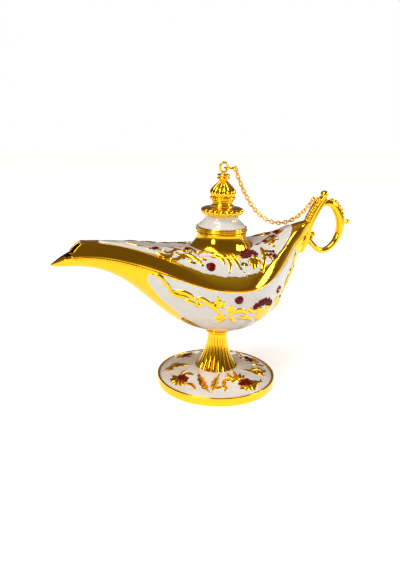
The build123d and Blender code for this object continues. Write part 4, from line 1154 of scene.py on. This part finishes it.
def cap():
    """Two turned beads, bored for the swivel's shank and hollow for its head."""
    bore, pocket, pocket_top, bead = 0.76, 1.21, cap_low + 0.82, 3.0
    corners = [(bore, cap_top, 0), (2.5, cap_top, 0.3), (bead, cap_top - 0.55, 0.5),
               (2.45, cap_top - 1.1, 0.15), (2.45, cap_top - 1.25, 0.15), (bead, cap_top - 1.8, 0.5),
               (2.6, cap_low, 0.3), (pocket, cap_low, 0), (pocket, pocket_top, 0), (bore, pocket_top, 0)]
    return [turned(eased(corners), 120)] + bead_ring(16, 2.62, cap_low + 0.62, 0.36, 8)


lid_pieces = [("lid_ring_gilt", [lid_ring()], gold, "plated_gold", "lid_ring"),
              ("lid_dome_ground", [lid_dome()], ivory, "ivory_enamel", "lid_dome"),
              ("lid_gadroon_gilt", [gadroon()], gold, "plated_gold", "lid_gadroon"),
              ("finial_baluster", [baluster()], gold, "plated_gold", "finial_neck"),
              ("finial_onion", bulb(), gold, "plated_gold", "finial_bulb"),
              ("finial_cap_gilt", cap(), gold, "plated_gold", "finial_cap")]
for name, parts, finish_of, slot, node in lid_pieces:
    piece(name, parts, finish_of, body="lid", stands_for=[node], crease=50)


# Handle: a flat cast stem pinned to the stern, with a ring for the finger that ends in a
# curl, a leaf along the ring's shoulder, scales up the stem's face and small balls.

handle_low, handle_reach, handle_height = 60.0, 20.7, 30.0


def handle_point(along, up):
    """A place in the lamp's middle plane from shares of the handle's reach and height."""
    return np.array([stern + along * handle_reach, handle_low + up * handle_height])


def bar(shares, thickness, width, square=1.0, groove=0.0, steps=70):
    """A bar of rounded section that follows its points and swells as they say."""
    points = np.array([handle_point(along, up) for along, up, _, _ in shares])
    sizes = np.array([(thick * thickness / 2, wide * width / 2) for _, _, thick, wide in shares])
    walked = np.concatenate([[0], np.cumsum(np.hypot(*np.diff(points, axis=0).T))])
    stops = np.linspace(0, walked[-1], steps)
    path, size = through(walked, points, stops), through(walked, sizes, stops)
    way = np.gradient(path, axis=0)
    way /= np.hypot(*way.T)[:, None]
    ring = np.linspace(0, 2 * math.pi, 40, endpoint=False)
    flat = np.sign(np.cos(ring)) * np.abs(np.cos(ring)) ** square
    tall = np.sign(np.sin(ring)) * np.abs(np.sin(ring)) ** square
    pinch = 1 - groove * np.exp(-((np.cos(ring) / 0.22) ** 2))
    rings = []
    for (x, z), (along, up), (half_thick, half_wide) in zip(path, way, size):
        out, side = half_thick * flat, half_wide * tall * pinch
        rings.append(np.stack([x - up * out, side, z + along * out], -1))
    return skin(rings), path, way, size


# Each row: place along and up the handle, then thickness and width, all as shares.
stem_shares = [(-0.020, 0.060, 1.05, 0.55), (0.085, 0.235, 1.36, 0.80), (0.170, 0.470, 1.00, 1.00),
               (0.310, 0.690, 1.00, 0.96), (0.520, 0.915, 0.86, 0.82)]
ring_shares = [(0.480, 0.810, 0.70, 0.72), (0.690, 0.820, 0.92, 0.88), (0.880, 0.700, 1.05, 1.00),
               (1.000, 0.490, 1.08, 1.05), (0.965, 0.290, 0.92, 0.92), (0.800, 0.125, 0.78, 0.80),
               (0.580, 0.060, 0.74, 0.76), (0.360, 0.140, 0.72, 0.76), (0.200, 0.255, 0.70, 0.76)]
curl_shares = [(0.225, 0.215, 1.0, 1.0), (0.265, 0.275, 0.95, 0.95), (0.300, 0.330, 0.9, 0.9)]


def in_plane(along, up, radius):
    """A ball in the lamp's middle plane."""
    x, z = handle_point(along, up)
    return ball((x, 0, z), radius)


def thumb_knob():
    """The thumb's ball on its short turned neck."""
    x, z = handle_point(1.06, 0.52)
    turn = np.linspace(0, 2 * math.pi, 24, endpoint=False)
    neck = [np.stack([x + out + 0 * turn, radius * np.cos(turn), z + radius * np.sin(turn)], -1)
            for out, radius in ((-0.6, 1.1), (0.4, 1.15), (1.2, 0.8), (1.9, 0.75))]
    return [in_plane(1.184, 0.52, 1.2), skin(neck)]


def seed(middle, long_way, out, size, length, thick, wide, end=1.4, lean=0.0):
    """A seed-shaped lobe that lies along a direction, swells outward and may lean out."""
    ring = np.linspace(0, 2 * math.pi, 14, endpoint=False)[:, None]
    section = np.cos(ring) * out * thick + np.sin(ring) * np.array([0, wide, 0])
    half_length = long_way * length * size + out * lean
    return skin([middle + math.sin(rise) * half_length + math.cos(rise) * size * section
                 for rise in np.linspace(-end, end, 9)])


def scales(path, way, half_sizes):
    """Overlapping leaf scales in three rows up the stem's inner face."""
    parts, random, in_a_row = [], np.random.default_rng(7), 13
    for row, offset in ((0, 0.0), (-1, 0.5), (1, 0.5)):
        for number in range(in_a_row):
            share = 0.42 + 0.50 * (number + offset) / in_a_row
            k = min(int(share * (len(path) - 1)), len(path) - 2)
            (x, z), (along, up), (half_thick, half_wide) = path[k], way[k], half_sizes[k]
            lift = half_thick - 0.1 * abs(row)
            middle = np.array([x - up * lift, row * half_wide * 0.55, z + along * lift])
            size = 0.85 + 0.2 * random.random()
            long_way, out = np.array([along, 0, up]), np.array([-up, 0, along])
            parts.append(seed(middle, long_way, out, size, 1.35, 0.75, 0.95, end=1.35, lean=0.30))
    return parts


# Each row: place along and up the handle as shares, the lobe's size and its slope in degrees.
shoulder_lobes = [(0.74, 0.865, 0.9, 150), (0.83, 0.83, 1.1, 135), (0.90, 0.775, 1.15, 122),
                  (0.965, 0.715, 1.15, 110), (1.01, 0.65, 1.1, 100), (1.04, 0.585, 0.95, 92)]


def shoulder_leaf():
    """A curled acanthus leaf on the ring's outer shoulder, cut into lobes."""
    parts = []
    for along, up, size, slope in shoulder_lobes:
        (x, z), angle = handle_point(along, up), math.radians(slope)
        long_way = np.array([math.cos(angle), 0, math.sin(angle)])
        out = np.array([math.sin(angle), 0, -math.cos(angle)])
        parts += [seed(np.array([x, side, z]) + 0.15 * out, long_way, out, size, 1.5, 0.8, 0.62)
                  for side in (-0.8, 0, 0.8)]
    return parts


stem_bar, *stem_run = bar(stem_shares, thickness=3.5, width=5.0, square=0.62, groove=0.12)
ring_parts = [bar(ring_shares, thickness=3.6, width=4.2)[0], bar(curl_shares, thickness=2.3, width=2.3)[0],
              in_plane(0.105, 0.25, 1.9), in_plane(0.30, 0.33, 1.35)]
piece("handle_stem_gilt", [stem_bar], gold, stands_for=["handle_stem"], crease=50)
piece("handle_ring_gilt", ring_parts, gold, stands_for=["handle_ring"], crease=60)
piece("handle_top_knob", [in_plane(0.520, 0.962, 1.9)], gold, stands_for=["handle_top_ball"])
piece("handle_thumb_knob", thumb_knob(), gold, stands_for=["handle_thumb_ball"])
piece("handle_scales", scales(*stem_run), gold, stands_for=["handle_beading"])
piece("handle_shoulder_leaf", shoulder_leaf(), gold, stands_for=["handle_leaf"])


# Chain: soft-soldered oval links of gilt wire from the handle's eye to a jump ring that hangs
# in the swivel eye. The links are round wire, so they keep their own form and take the gilt.

chain_links = [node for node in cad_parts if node.startswith("chain_links")]
dress(["swivel_eye", "jump_ring", "handle_eye"] + chain_links, gold)
